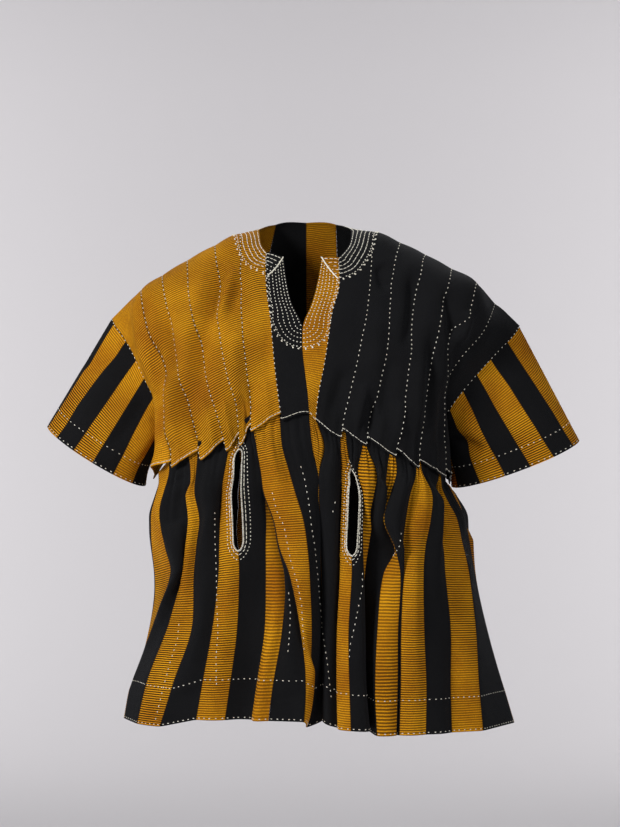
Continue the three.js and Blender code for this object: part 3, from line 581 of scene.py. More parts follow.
def mesh_object(name: str, points: Sequence, faces: Sequence) -> bpy.types.Object:
    """A new object of the scene, selected alone, from points in metres and faces."""
    mesh = bpy.data.meshes.new(name)
    mesh.from_pydata(points, [], faces)
    obj = link(bpy.data.objects.new(name, mesh))
    select_only(obj)
    return obj


def cloth_object(name: str, sheets: Sequence[Cloth]) -> bpy.types.Object:
    """One object of several strips, with the cloth's wall.

    Args:
        name: The piece's name.
        sheets: Its strips.

    Returns:
        The finished object.
    """
    points = []
    faces = []
    woven = []
    shares = []
    offset = 0
    for sheet in sheets:
        rows, count = sheet.points.shape[:2]
        index = np.arange(rows * count).reshape(rows, count)
        quads = np.stack([index[:-1, :-1], index[:-1, 1:], index[1:, 1:], index[1:, :-1]], -1).reshape(-1, 4)
        if sheet.turned:
            quads = quads[:, ::-1]
        coordinates = np.stack(np.broadcast_arrays(sheet.u, sheet.v), -1).reshape(-1, 2)
        woven.append(coordinates[quads.ravel()])
        share = np.broadcast_to(np.linspace(0, 1, count), (rows, count)).ravel()
        shares.append(np.stack([share, 0 * share], -1)[quads.ravel()])
        faces.append(quads + offset)
        points.append(sheet.points.reshape(-1, 3))
        offset += rows * count
    obj = mesh_object(name, (np.concatenate(points) * MM).tolist(), np.concatenate(faces).tolist())
    for layer, values in (("woven", np.concatenate(woven) * MM), ("share", np.concatenate(shares))):
        obj.data.uv_layers.new(name=layer).data.foreach_set("uv", values.ravel())
    wall = obj.modifiers.new("wall", "SOLIDIFY")
    wall.thickness = WALL * MM
    wall.offset = 0
    bpy.ops.object.modifier_apply(modifier=wall.name)
    bpy.ops.object.shade_smooth_by_angle(angle=math.radians(SMOOTH_ANGLE))
    return obj


# Materials


class Value:
    """One output of a shader node, which takes part in plain arithmetic."""

    def __init__(self, graph: "Graph", socket: bpy.types.NodeSocket) -> None:
        """Wraps a node's output socket."""
        self.graph = graph
        self.socket = socket

    def math(self, operation: str, *others: Any) -> "Value":
        """A Math node on this value and others."""
        return self.graph.node("ShaderNodeMath", {"operation": operation}, dict(enumerate((self, *others))))

    def __add__(self, other: Any) -> "Value":
        """This value plus another."""
        return self.math("ADD", other)

    def __mul__(self, other: Any) -> "Value":
        """This value times another."""
        return self.math("MULTIPLY", other)

    def __sub__(self, other: Any) -> "Value":
        """This value less another."""
        return self.math("SUBTRACT", other)

    def __rsub__(self, other: float) -> "Value":
        """A number less this value."""
        return self.graph.node("ShaderNodeMath", {"operation": "SUBTRACT"}, {0: other, 1: self})

    def __truediv__(self, other: Any) -> "Value":
        """This value over another."""
        return self.math("DIVIDE", other)

    __radd__ = __add__
    __rmul__ = __mul__

    def ramp(self, low: float, high: float) -> "Value":
        """Eased rise from 0 at low to 1 at high."""
        inputs = {"Value": self, "From Min": low, "From Max": high}
        return self.graph.node("ShaderNodeMapRange", {"interpolation_type": "SMOOTHSTEP"}, inputs)

    def output(self, index: int) -> "Value":
        """Another output of the same node."""
        return Value(self.graph, self.socket.node.outputs[index])


class Graph:
    """The nodes of one material."""

    def __init__(self, name: str) -> None:
        """Makes an empty material with its shader."""
        self.material = bpy.data.materials.new(name)
        self.material.use_nodes = True
        self.nodes = self.material.node_tree.nodes
        self.links = self.material.node_tree.links
        self.shader = self.nodes["Principled BSDF"]

    def node(self, kind: str, settings: dict = None, inputs: dict = None, output: Any = 0) -> Value:
        """One node of any type.

        Args:
            kind: The node's type.
            settings: Its properties, set before its sockets.
            inputs: Values or links of its sockets, by name or number.
            output: The output that is wanted, by name or number.

        Returns:
            That output.
        """
        node = self.nodes.new(kind)
        for name, value in (settings or {}).items():
            setattr(node, name, value)
        for name, value in (inputs or {}).items():
            self.feed(node.inputs[name], value)
        return Value(self, node.outputs[output])

    def feed(self, socket: bpy.types.NodeSocket, value: Any) -> None:
        """Links a value to a socket, or sets it there."""
        if isinstance(value, Value):
            self.links.new(value.socket, socket)
        else:
            socket.default_value = value

    def blend(self, factor: Any, a: Any, b: Any) -> Value:
        """A colour between two others."""
        return self.node("ShaderNodeMix", {"data_type": "RGBA"}, {0: factor, 6: a, 7: b}, 2)

    def noise(self, scale: float, vector: Value, detail: float = 2.0) -> Value:
        """Even noise from 0 to 1."""
        return self.node("ShaderNodeTexNoise", {}, {"Vector": vector, "Scale": scale, "Detail": detail})

    def surface(self, height: Value, distance: float, colour: Value, roughness: Value) -> None:
        """Feeds the shader's colour, roughness and relief."""
        self.feed(self.shader.inputs["Base Color"], colour)
        self.feed(self.shader.inputs["Roughness"], roughness)
        bump = self.node("ShaderNodeBump", {}, {"Height": height, "Distance": distance, "Strength": 1.0})
        self.feed(self.shader.inputs["Normal"], bump)

    def steady(self, **sockets: Any) -> None:
        """Sets the shader's constant sockets, with spaces as underscores."""
        for name, value in sockets.items():
            self.shader.inputs[name.replace("_", " ")].default_value = value


Colour = tuple[float, float, float, float]


def shade(red: float, green: float, blue: float) -> Colour:
    """A colour given as screen values from 0 to 255."""
    def linear(value: float) -> float:
        """One channel in linear light."""
        share = value / 255
        return share / 12.92 if share <= 0.04045 else ((share + 0.055) / 1.055) ** 2.4
    return (linear(red), linear(green), linear(blue), 1.0)


@dataclass(frozen=True)
class StripCloth:
    """Handwoven strip cloth with weft lines across each strip."""

    name: str
    ground: Colour
    shade: Colour
    line: Colour
    line_strength: float
    weft_pitch: float = 0.0034
    warp_pitch: float = 0.0011
    sheen: float = 0.1
    sheen_tint: Colour = (1.0, 1.0, 1.0, 1.0)
    roughness: float = 0.86
    # Strength of the painted shade in the seam grooves along both edges of each strip
    seam_shade: float = 0.7
    gloss: float = 0.12

    def material(self) -> bpy.types.Material:
        """Builds the cloth's material."""
        graph = Graph(self.name)
        woven = graph.node("ShaderNodeUVMap", {"uv_map": "woven"})
        across = graph.node("ShaderNodeUVMap", {"uv_map": "share"})
        share = graph.node("ShaderNodeSeparateXYZ", {}, {0: across})
        place = graph.node("ShaderNodeTexCoord", {}, {}, "Object")
        u = graph.node("ShaderNodeSeparateXYZ", {}, {0: woven})
        v = u.output(1)
        wobble = graph.noise(45, woven) - 0.5
        drift = graph.noise(6, woven) - 0.5
        weft = ((v + wobble * 0.0011 + drift * 0.002) / self.weft_pitch).math("FRACT")
        weft_line = ((weft - 0.5).math("ABSOLUTE") * 2).ramp(0.25, 0.62)
        warp = ((u + wobble * 0.0003) / self.warp_pitch).math("FRACT")
        warp_line = ((warp - 0.5).math("ABSOLUTE") * 2).ramp(0.2, 0.9)
        fibre_place = graph.node("ShaderNodeMapping", {}, {"Vector": woven, "Scale": (1400.0, 120.0, 1.0)})
        fibre = graph.noise(1.0, fibre_place, 3.0)
        cloudy = graph.noise(14, place, 3.0)
        worn = graph.noise(5, place, 2.0)
        tone = graph.blend((cloudy * 0.55 + fibre * 0.45).ramp(0.3, 0.72), self.shade, self.ground)
        strength = (worn.ramp(0.3, 0.7) * 0.45 + 0.55) * self.line_strength
        soft = weft_line * strength * (fibre * 0.5 + 0.7).math("MINIMUM", 1.0)
        colour = graph.blend(soft, tone, self.line)
        colour = graph.blend(warp_line * 0.12, colour, self.line)
        # Painted shade in the seam grooves: each strip darkens towards its line colour near both edges
        inside = (0.5 - (share - 0.5).math("ABSOLUTE")).ramp(0.0, 0.035)
        colour = graph.blend((1 - inside) * self.seam_shade, colour, self.line)
        height = (1 - weft_line) * 0.7 + (1 - warp_line) * 0.3 + fibre * 0.35
        rough = fibre * 0.1 + self.roughness - 0.05
        graph.surface(height, 0.0006, colour, rough)
        graph.steady(Sheen_Weight=self.sheen, Sheen_Roughness=0.45, Sheen_Tint=self.sheen_tint,
                     Specular_IOR_Level=self.gloss)
        return graph.material


@dataclass(frozen=True)
class Thread:
    """Thick cream sewing thread."""

    name: str = "white_thread"
    light: Colour = shade(240, 236, 222)
    dark: Colour = shade(196, 188, 166)

    def material(self) -> bpy.types.Material:
        """Builds the thread's material."""
        graph = Graph(self.name)
        place = graph.node("ShaderNodeTexCoord", {}, {}, "Object")
        fibre = graph.noise(900, place, 2.0)
        patch = graph.noise(40, place, 2.0)
        colour = graph.blend((fibre * 0.6 + patch * 0.4).ramp(0.3, 0.6), self.dark, self.light)
        graph.surface(fibre, 0.0002, colour, fibre * 0.1 + 0.75)
        graph.steady(Sheen_Weight=0.2, Specular_IOR_Level=0.3)
        return graph.material


@dataclass(frozen=True)
class Backdrop:
    """Plain pale studio paper."""

    name: str = "studio_paper"
    light: Colour = (0.60, 0.58, 0.595, 1.0)

    def material(self) -> bpy.types.Material:
        """Builds the paper's material."""
        graph = Graph(self.name)
        place = graph.node("ShaderNodeTexCoord", {}, {}, "Object")
        grain = graph.noise(300, place, 2.0)
        faint = tuple(0.97 * part for part in self.light[:3]) + (1.0,)
        graph.surface(grain, 0.0001, graph.blend(grain, faint, self.light), grain * 0.05 + 0.9)
        return graph.material


GOLD_CLOTH = StripCloth("gold_strip_cloth", shade(246, 174, 24), shade(186, 114, 8), shade(20, 6, 1), 1.0,
                        sheen=0.0)
BLACK_CLOTH = StripCloth("black_strip_cloth", shade(20, 20, 22), shade(13, 13, 15), shade(6, 6, 7), 0.35,
                         weft_pitch=0.0016, warp_pitch=0.0009, sheen=0.03,
                         sheen_tint=(0.75, 0.8, 0.9, 1.0), roughness=0.8)


# Stitches


@dataclass(frozen=True)
class StitchSize:
    """Length, width and height of one stitch, and how far its middle stands off the cloth."""

    length: float
    width: float
    height: float
    lift: float = 0.25


RUNNING = StitchSize(2.7, 1.3, 1.1)
FINE = StitchSize(5.3, 0.95, 0.9)
DOT = StitchSize(2.4, 1.4, 1.2)
CLOSED = StitchSize(5.6, 1.15, 1.0)
KNOT = StitchSize(2.6, 2.4, 2.1, 0.6)
CORD = StitchSize(4.2, 1.9, 1.8, 0.5)
OVERCAST = StitchSize(2.8, 1.6, 1.5, 0.35)


class StitchTemplate:
    """One stitch, modelled once and copied to every place on a path."""

    def __init__(self) -> None:
        """Models a rounded stitch whose ends dip into the cloth, 2 long, 2 wide and 2 high."""
        bpy.ops.object.select_all(action="DESELECT")
        bpy.ops.mesh.primitive_uv_sphere_add(segments=6, ring_count=5, radius=1)
        shape = bpy.context.object
        bpy.ops.object.mode_set(mode="EDIT")
        bpy.ops.mesh.select_all(action="SELECT")
        bpy.ops.transform.rotate(value=math.pi / 2, orient_axis="Y", center_override=(0, 0, 0))
        bpy.ops.object.mode_set(mode="OBJECT")
        count = len(shape.data.vertices)
        vertices = np.empty(count * 3)
        shape.data.vertices.foreach_get("co", vertices)
        vertices = vertices.reshape(-1, 3)
        full = np.sign(vertices[:, 0]) * np.abs(vertices[:, 0]) ** 0.8
        vertices[:, 2] -= 0.55 * np.abs(full) ** 3
        self.vertices = np.column_stack([full, vertices[:, 1], vertices[:, 2]])
        self.faces = [list(polygon.vertices) for polygon in shape.data.polygons]
        bpy.data.objects.remove(shape, do_unlink=True)


class Stitches:
    """Many stitches of one piece, gathered as places and then made one mesh."""

    def __init__(self, name: str, seed: int) -> None:
        """Starts an empty piece with its own fixed run of chance."""
        self.name = name
        self.chance = np.random.default_rng(seed)
        self.frames: list[np.ndarray] = []

    def along(self, path: np.ndarray, size: StitchSize, pitch: float, turn: float = 0.0) -> None:
        """Sets stitches along a line on the cloth.

        Args:
            path: Points and outward directions, six numbers a row.
            size: The stitch's size.
            pitch: Distance from one stitch to the next.
            turn: Angle of each stitch to the line, in degrees.
        """
        reach = reach_along(path[:, :3])
        if reach[-1] < pitch * 0.6:
            return
        count = max(1, int(reach[-1] / pitch))
        goals = (np.arange(count) + 0.5) * reach[-1] / count
        goals = goals + self.chance.uniform(-0.1, 0.1, count) * pitch
        places = along_line(path, goals, reach)
        ahead = along_line(path, goals + 0.8, reach)[:, :3]
        behind = along_line(path, goals - 0.8, reach)[:, :3]
        out = unit(places[:, 3:])
        tangent = unit(ahead - behind)
        tangent = unit(tangent - out * np.sum(tangent * out, -1, keepdims=True))
        sideways = np.cross(out, tangent)
        angles = np.radians(turn + self.chance.uniform(-5, 5, count))[:, None]
        along = tangent * np.cos(angles) + sideways * np.sin(angles)
        beside = np.cross(out, along)
        centre = places[:, :3] + out * (WALL / 2 + size.lift)
        lengths = size.length / 2 * self.chance.uniform(0.85, 1.12, (count, 1))
        stitch = np.stack([along * lengths, beside * size.width / 2, out * size.height / 2, centre], 1)
        self.frames.append(stitch)

    def build(self, template: StitchTemplate) -> bpy.types.Object:
        """Makes the piece's mesh.

        Args:
            template: The stitch to copy.

        Returns:
            The finished object.
        """
        frames = np.concatenate(self.frames)
        points = np.einsum("vk,nkc->nvc", template.vertices, frames[:, :3]) + frames[:, 3][:, None, :]
        count = len(template.vertices)
        faces = [
            [vertex + n * count for vertex in face] for n in range(len(frames)) for face in template.faces
        ]
        obj = mesh_object(self.name, (points.reshape(-1, 3) * MM).tolist(), faces)
        bpy.ops.object.mode_set(mode="EDIT")
        bpy.ops.mesh.select_all(action="SELECT")
        bpy.ops.mesh.normals_make_consistent(inside=False)
        bpy.ops.object.mode_set(mode="OBJECT")
        bpy.ops.object.shade_smooth()
        return obj


def contour_lines(sheet: Cloth, height: np.ndarray, level: float) -> list[np.ndarray]:
    """Lines on a strip along which a field keeps one value.

    Args:
        sheet: The strip.
        height: The field, one number at each of its points.
        level: The value.

    Returns:
        Each line's points and outward directions.
    """
    rows, count = height.shape
    index = np.arange(rows * count).reshape(rows, count)
    corners = [index[:-1, :-1], index[:-1, 1:], index[1:, 1:], index[1:, :-1]]
    triangles = np.concatenate([
        np.stack([corners[0], corners[1], corners[2]], -1).reshape(-1, 3),
        np.stack([corners[0], corners[2], corners[3]], -1).reshape(-1, 3),
    ])
    over = height.ravel() - level
    above = over[triangles] > 0
    crossed = triangles[above.any(1) & ~above.all(1)]
    table = np.concatenate([sheet.points, sheet.normals], -1).reshape(-1, 6)
    spots: dict[tuple, np.ndarray] = {}
    beside: dict[tuple, list] = {}
    for triangle in crossed:
        keys = []
        for a, b in ((0, 1), (1, 2), (2, 0)):
            first, second = sorted((int(triangle[a]), int(triangle[b])))
            if (over[first] > 0) == (over[second] > 0):
                continue
            share = over[first] / (over[first] - over[second])
            spots[(first, second)] = mix(table[first], table[second], share)
            keys.append((first, second))
        beside.setdefault(keys[0], []).append(keys[1])
        beside.setdefault(keys[1], []).append(keys[0])
    lines = []
    left = set(spots)
    starts = sorted(spots, key=lambda key: len(beside[key]))
    for start in starts:
        if start not in left:
            continue
        chain = []
        here = start
        while here is not None:
            left.discard(here)
            chain.append(spots[here])
            here = next((key for key in beside[here] if key in left), None)
        if len(chain) > 1:
            lines.append(np.array(chain))
    return lines


def distance_to(points: np.ndarray, line: np.ndarray) -> np.ndarray:
    """Distance of each point from a line of close points."""
    dense = along_line(line, np.arange(0, reach_along(line)[-1], 1.0))
    flat = points.reshape(-1, 3)
    gaps = np.linalg.norm(flat[:, None, :] - dense[None, :, :], axis=-1)
    return gaps.min(1).reshape(points.shape[:-1])


# Sub-assemblies


@dataclass
class Piece:
    """A finished object with its material's name, the solids that it replaces, and its cloth's flat size,
    area and hold.
    """

    obj: bpy.types.Object
    slot: str
    nodes: Sequence[str] = ()
    flat: tuple[float, float] = None
    area: float = None
    hold: Hold = Hold.DRAPED

    def declare(self, material: bpy.types.Material) -> None:
        """Dresses the piece, hangs it on the frame's root body and hides the solids that it replaces."""
        self.obj.data.materials.clear()
        self.obj.data.materials.append(material)
        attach(self.obj, "root")
        if self.nodes:
            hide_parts(*self.nodes)
        LOG.info("%s: %d faces", self.obj.name, len(self.obj.data.polygons))


def flat_area(sheets: Sequence[Cloth]) -> float:
    """Area of several strips, in square metres."""
    total = 0.0
    for sheet in sheets:
        a = sheet.points[1:, :-1] - sheet.points[:-1, 1:]
        b = sheet.points[1:, 1:] - sheet.points[:-1, :-1]
        total += float(np.linalg.norm(np.cross(a, b), axis=-1).sum()) / 2
    return total * MM * MM


def cloth_piece(name: str, colour: str, sheets: Sequence[Cloth], nodes: Sequence[str],
                flat: tuple[float, float], hold: Hold = Hold.DRAPED) -> Piece:
    """A piece of strip cloth.

    Args:
        name: The piece's name.
        colour: Gold or black.
        sheets: Its strips.
        nodes: The solids that it replaces.
        flat: Width and length of its cloth laid flat, in metres.
        hold: How it is held.

    Returns:
        The piece.
    """
    return Piece(cloth_object(name, sheets), f"{colour}_strip_cloth", nodes, flat, flat_area(sheets), hold)


def thread_pieces(parts: Sequence[Stitches], template: StitchTemplate) -> list[Piece]:
    """A piece of white thread for each set of stitches."""
    return [Piece(part.build(template), "white_thread") for part in parts]


# Soft folds of the body: two ends in x and z, width, depth and bow
CREASES = creases_of({
    Side.FRONT: [
        (-112, -45, -157, -292, 15, -14.2, -14), (-102, -62, -130, -165, 8, 8.1, 0),
        (-96, -84, -118, -150, 9, -8.1, 2), (-90, -150, -92, -275, 15, 8.1, -12),
        (-214, -125, -198, -258, 12, -12.2, 4), (-194, -215, -193, -345, 11, 12.2, -3),
        (-176, -240, -152, -350, 11, -10.1, 0), (-118, -262, -103, -330, 8, 8.1, 0),
        (-98, -258, -85, -310, 6, -10.1, 2), (-138, -278, -128, -340, 8, 8.1, 0),
        (-78, -236, -74, -296, 8, -6.1, 0), (-224, -160, -207, -330, 10, -10.1, 0),
        (-152, -84, -176, -190, 16, 8.1, 6), (-52, -120, -58, -250, 12, -4.1, 0),
        (108, -66, 118, -112, 9, -10.1, 0), (158, -66, 142, -206, 12, -12.2, 8),
        (102, -125, 100, -235, 15, 6.1, 0), (206, -104, 214, -184, 10, -12.2, 6),
        (60, -215, 38, -296, 11, -8.1, 0), (126, -200, 112, -305, 11, -8.1, 0),
        (168, -190, 160, -320, 12, 8.1, -3), (186, -150, 176, -330, 9, -8.1, 0),
        (86, -240, 70, -312, 8, 8.1, 0), (138, -262, 134, -335, 7, 8.1, 0),
        (96, -262, 92, -326, 6, -8.1, 0), (240, -132, 222, -190, 8, 10.1, 0),
        (40, -100, 22, -215, 12, -4.1, 0), (205, -230, 196, -350, 9, -10.1, 0),
    ],
    Side.BACK: [
        (-108, -50, -96, -250, 15, -12.2, 10), (-180, -120, -168, -330, 12, -10.1, -6),
        (-150, -150, -140, -320, 11, 8.1, 0), (-60, -180, -52, -300, 9, -8.1, 0),
        (-210, -180, -200, -340, 10, -10.1, 0), (-20, -60, -14, -260, 14, -6.1, 6),
        (100, -70, 90, -300, 14, -12.2, -9), (60, -160, 52, -300, 10, 8.1, 0),
        (150, -100, 146, -320, 12, -10.1, 8), (186, -180, 176, -350, 11, 8.1, 0),
        (30, -200, 26, -300, 8, -6.1, 0), (120, -230, 116, -320, 8, 8.1, 0),
    ],
})


# Share of a point's place, and what is added to it, for the centre deep inside the body
CENTRE_SHARES = np.array([0.6, 0, 1])
CENTRE_SHIFT = np.array([0, 15, 0])


@dataclass
class Bodice:
    """The body's strips, which run over the shoulders from the front waist to the back waist."""

    columns: int = 12
    seam_gap: float = 0.3
    side_strip: int = 5
    side_roundness: float = 0.25
    neck_run: float = 0.08
    slit_run: float = 0.1
    side_place: float = 0.75
    side_run: float = 0.1
    centre_drop: float = 60.0
    drop_rows: int = 16
    least_puff: float = 1.5
    strip_swell: float = 0.6
    middle_swell: float = 0.9
    gather_height: float = 1.5
    gather_place: float = 0.7
    gather_run: float = 0.3
    strips: dict = field(default_factory=dict)
    middles: dict = field(default_factory=dict)

    def __post_init__(self) -> None:
        """Works out the seams of both halves."""
        self.places = np.concatenate([
            np.linspace(0, NECK_CORNER, 15), np.linspace(NECK_CORNER, UNDERARM, 39)[1:],
            np.linspace(UNDERARM, 1, 13)[1:],
        ])
        self.rows = np.concatenate([self.places[::-1], self.places[1:]])[:, None]
        self.trim = self.seam_gap / 2 / STRIP_WIDTH
        self.seams = {(hand, side): self.half_seams(hand, side) for hand in Hand for side in Side}

    def seam_curve(self, hand: Hand, side: Side, ridge: float, levels: Sequence[float], notch: float,
                   top: float) -> np.ndarray:
        """One seam over the form, from the shoulder down to its notch."""
        z = mix(top, notch, np.linspace(0, 1, 241) ** 4)
        kept = [(level, x) for level, x in zip(SEAM_LEVELS, levels) if level < top - 2]
        stations = [top] + [level for level, _ in kept]
        x = hand.sign * smooth_at(stations, [ridge] + [place for _, place in kept], z)
        return np.stack([x, side.facing * surface_depth(side, x, z), z], -1)

    def half_seams(self, hand: Hand, side: Side) -> list[SeamLine]:
        """Every seam of one half on one side, from the middle outwards."""
        mirror = np.array([hand.sign, 1, 1])
        turn = np.array([hand.sign, -side.facing, 1])
        neck = smooth_line(NECK_EDGES[hand, side] * mirror)
        _, levels, notch, tooth = SEAMS[hand][0]
        corner = neck[-1]
        below = self.seam_curve(hand, side, abs(corner[0]), levels, notch, corner[2])
        eased = 1 - smooth_step(reach_along(below) / 30)
        below = below + (corner - below[0]) * eased[:, None]
        lines = [SeamLine.joined([(0, NECK_CORNER, neck), (NECK_CORNER, 1, below)], tooth)]
        for ridge, levels, notch, tooth in SEAMS[hand][1:]:
            curve = self.seam_curve(hand, side, ridge, levels, notch, ridge_height(hand.sign * ridge))
            lines.append(SeamLine.joined([(0, 1, curve)], tooth))
        if hand is Hand.LEFT:
            lines.append(SeamLine.joined([(0, 1, smooth_line(TURNED_SEAM * turn))], TURNED_SEAM_TOOTH))
        edge = smooth_line(ARMHOLE_EDGES[hand] * turn)
        below = smooth_line(SIDE_SEAMS[hand] * turn)
        lines.append(SeamLine.joined([(0, UNDERARM, edge), (UNDERARM, 1, below)]))
        return lines

    def middle_line(self, hand: Hand, side: Side, places: np.ndarray) -> np.ndarray:
        """Edge of the strip beside the middle."""
        if side is Side.FRONT:
            z = smooth_at(MIDDLE_PLACES, MIDDLE_HEIGHTS, places)
            x = smooth_at(MIDDLE_PLACES, MIDDLE_X[hand], places)
            return np.stack([x, -surface_depth(side, x, z), z], -1)
        z = mix(BACK_MIDDLE[1], BACK_MIDDLE[0], (places - NECK_CORNER) / (1 - NECK_CORNER))
        return np.stack([0 * z, form_at("back", z), z], -1)

    def over_shoulder(self, lines: dict[Side, np.ndarray]) -> np.ndarray:
        """Front rows from the waist up, and then the back ones down."""
        return np.concatenate([lines[Side.FRONT][::-1], lines[Side.BACK][1:]])

    def beyond(self, hand: Hand, side: Side, index: int) -> tuple[np.ndarray, np.ndarray]:
        """Lines beyond a strip's two seams, which its curve across agrees with."""
        seams = self.seams[hand, side]
        a = seams[index - 1].at(self.places)
        b = seams[index].at(self.places)
        if index > 1:
            before = seams[index - 2].at(self.places)
        else:
            middle = self.middle_line(hand, side, np.clip(self.places, NECK_CORNER, 1))
            below_neck = smooth_step((self.places - NECK_CORNER) / self.neck_run)[:, None]
            before = mix(2 * a - b, middle, below_neck)
        if index + 1 < len(seams):
            return before, seams[index + 1].at(self.places)
        other = Side.BACK if side is Side.FRONT else Side.FRONT
        round_side = self.seams[hand, other][index - 1].at(self.places)
        turned = smooth_step((self.places - self.side_place) / self.side_run)[:, None]
        return before, mix(2 * b - a, round_side, turned)

    def fullness(self, hand: Hand, index: int, t: np.ndarray) -> np.ndarray:
        """How far a strip swells between its seams, by place and share across."""
        puff = mix(self.least_puff, PUFFS[hand][index - 1], smooth_step(2 * self.rows))
        if index <= self.side_strip:
            return self.strip_swell * puff * np.sin(np.pi * t)[None, :]
        profile = smooth_at([0, 0.25, 0.5, 0.75, 1], [0, 0.994, 0.746, 0.372, 0], t)[None, :]
        eased = 1 - smooth_step((self.rows - 0.45) / 0.36) * smooth_step(t * 2 - 1)[None, :]
        return puff * profile * eased

    def gathers(self, t: np.ndarray, phase: float) -> np.ndarray:
        """Small folds that run up from the waist seam and die out."""
        fade = np.clip((self.rows - self.gather_place) / self.gather_run, 0, 1) ** 1.6
        wide = np.sin(2 * np.pi * (2.4 * t[None, :] + phase))
        narrow = np.sin(2 * np.pi * (4.3 * t[None, :] + 2 * phase))
        ends = np.sin(np.pi * t)[None, :] ** 0.6
        return self.gather_height * fade * (wide + 0.6 * narrow) * ends

    def sheet(self, points: np.ndarray, edges: Sequence[np.ndarray], first: float, t: np.ndarray) -> Cloth:
        """A strip's cloth, with its woven coordinates.

        Args:
            points: Rows by columns of points.
            edges: The two lines that bound the strip.
            first: Woven coordinate across at its first edge.
            t: Shares of the way across.

        Returns:
            The smooth strip, still without its folds.
        """
        v = (reach_along(edges[0]) + reach_along(edges[1])) / 2
        centre = points * CENTRE_SHARES + CENTRE_SHIFT
        return Cloth(points, (first + t * STRIP_WIDTH)[None, :], v[:, None], centre)

    def strip(self, hand: Hand, index: int) -> Cloth:
        """One strip over the shoulder, between two seams."""
        inner, outer, before, after = {}, {}, {}, {}
        for side in Side:
            seams = self.seams[hand, side]
            inner[side] = seams[index - 1].at(self.places)
            outer[side] = seams[index].stretched(self.places)
            before[side], after[side] = self.beyond(hand, side, index)
        a, b = self.over_shoulder(inner), self.over_shoulder(outer)
        t = np.linspace(self.trim, 1 - self.trim, self.columns + 1)
        roundness = 1.0 if index <= self.side_strip else self.side_roundness
        points = across([self.over_shoulder(before), a, b, self.over_shoulder(after)], t, roundness)
        sheet = self.sheet(points, (a, b), index * 100, t)
        ridge = len(self.places) - 1
        from_ridge = np.abs(np.arange(len(points)) - ridge)[:, None]
        sheet.centre[..., 2] -= self.centre_drop * (1 - smooth_step(from_ridge / self.drop_rows))
        phase = 0.37 * index + (0.2 if hand is Hand.LEFT else 0)
        sheet.pushed(self.fullness(hand, index, t) + self.gathers(t, phase))
        sheet.creased(CREASES)
        return sheet

    def middle_strip(self, hand: Hand, side: Side) -> Cloth:
        """The strip beside the middle, from the neck down to the waist."""
        places = self.places[self.places >= NECK_CORNER]
        seams = self.seams[hand, side]
        a = self.middle_line(hand, side, places)
        b = seams[0].stretched(places)
        other = Hand.LEFT if hand is Hand.RIGHT else Hand.RIGHT
        far = self.seams[other, side][0].at(places)
        below_slit = smooth_step((places - SLIT_FOOT_PLACE) / self.slit_run)[:, None]
        before = mix(2 * a - b, far, 1.0 if side is Side.BACK else below_slit)
        t = np.linspace(0, 1 - self.trim, self.columns + 1)
        points = across([before, a, b, seams[1].at(places)], t)
        sheet = self.sheet(points, (a, b), 900 + 100 * side.facing, t)
        sheet.pushed(self.middle_swell * np.sin(np.pi * t)[None, :] * np.ones((len(places), 1)))
        sheet.creased(CREASES)
        return sheet

    def build(self) -> list[Piece]:
        """Makes the four pieces of the body."""
        pieces = []
        for hand in Hand:
            count = len(self.seams[hand, Side.FRONT]) - 1
            self.strips[hand] = [self.strip(hand, index) for index in range(1, count + 1)]
            self.middles[hand] = {side: self.middle_strip(hand, side) for side in Side}
            outer = "gold" if hand is Hand.RIGHT else "black"
            inner = "black" if hand is Hand.RIGHT else "gold"
            name = f"bodice_{hand.word}_{outer}"
            nodes = [f"{name}_{index}" for index in range(1, count + 1)]
            flat = (count * 0.046, 0.80)
            pieces.append(cloth_piece(name, outer, self.strips[hand], nodes, flat))
            name = f"bodice_middle_{inner}"
            nodes = [f"{name}_{side.column}" for side in Side]
            pieces.append(cloth_piece(name, inner, list(self.middles[hand].values()), nodes, (0.046, 0.60)))
        return pieces


# Start and step of the rays that find the outermost folds, and the least step from fold to fold
FAR_OUT = 400
PROBE_STEP = 2.0
FOLD_JUMP = 9


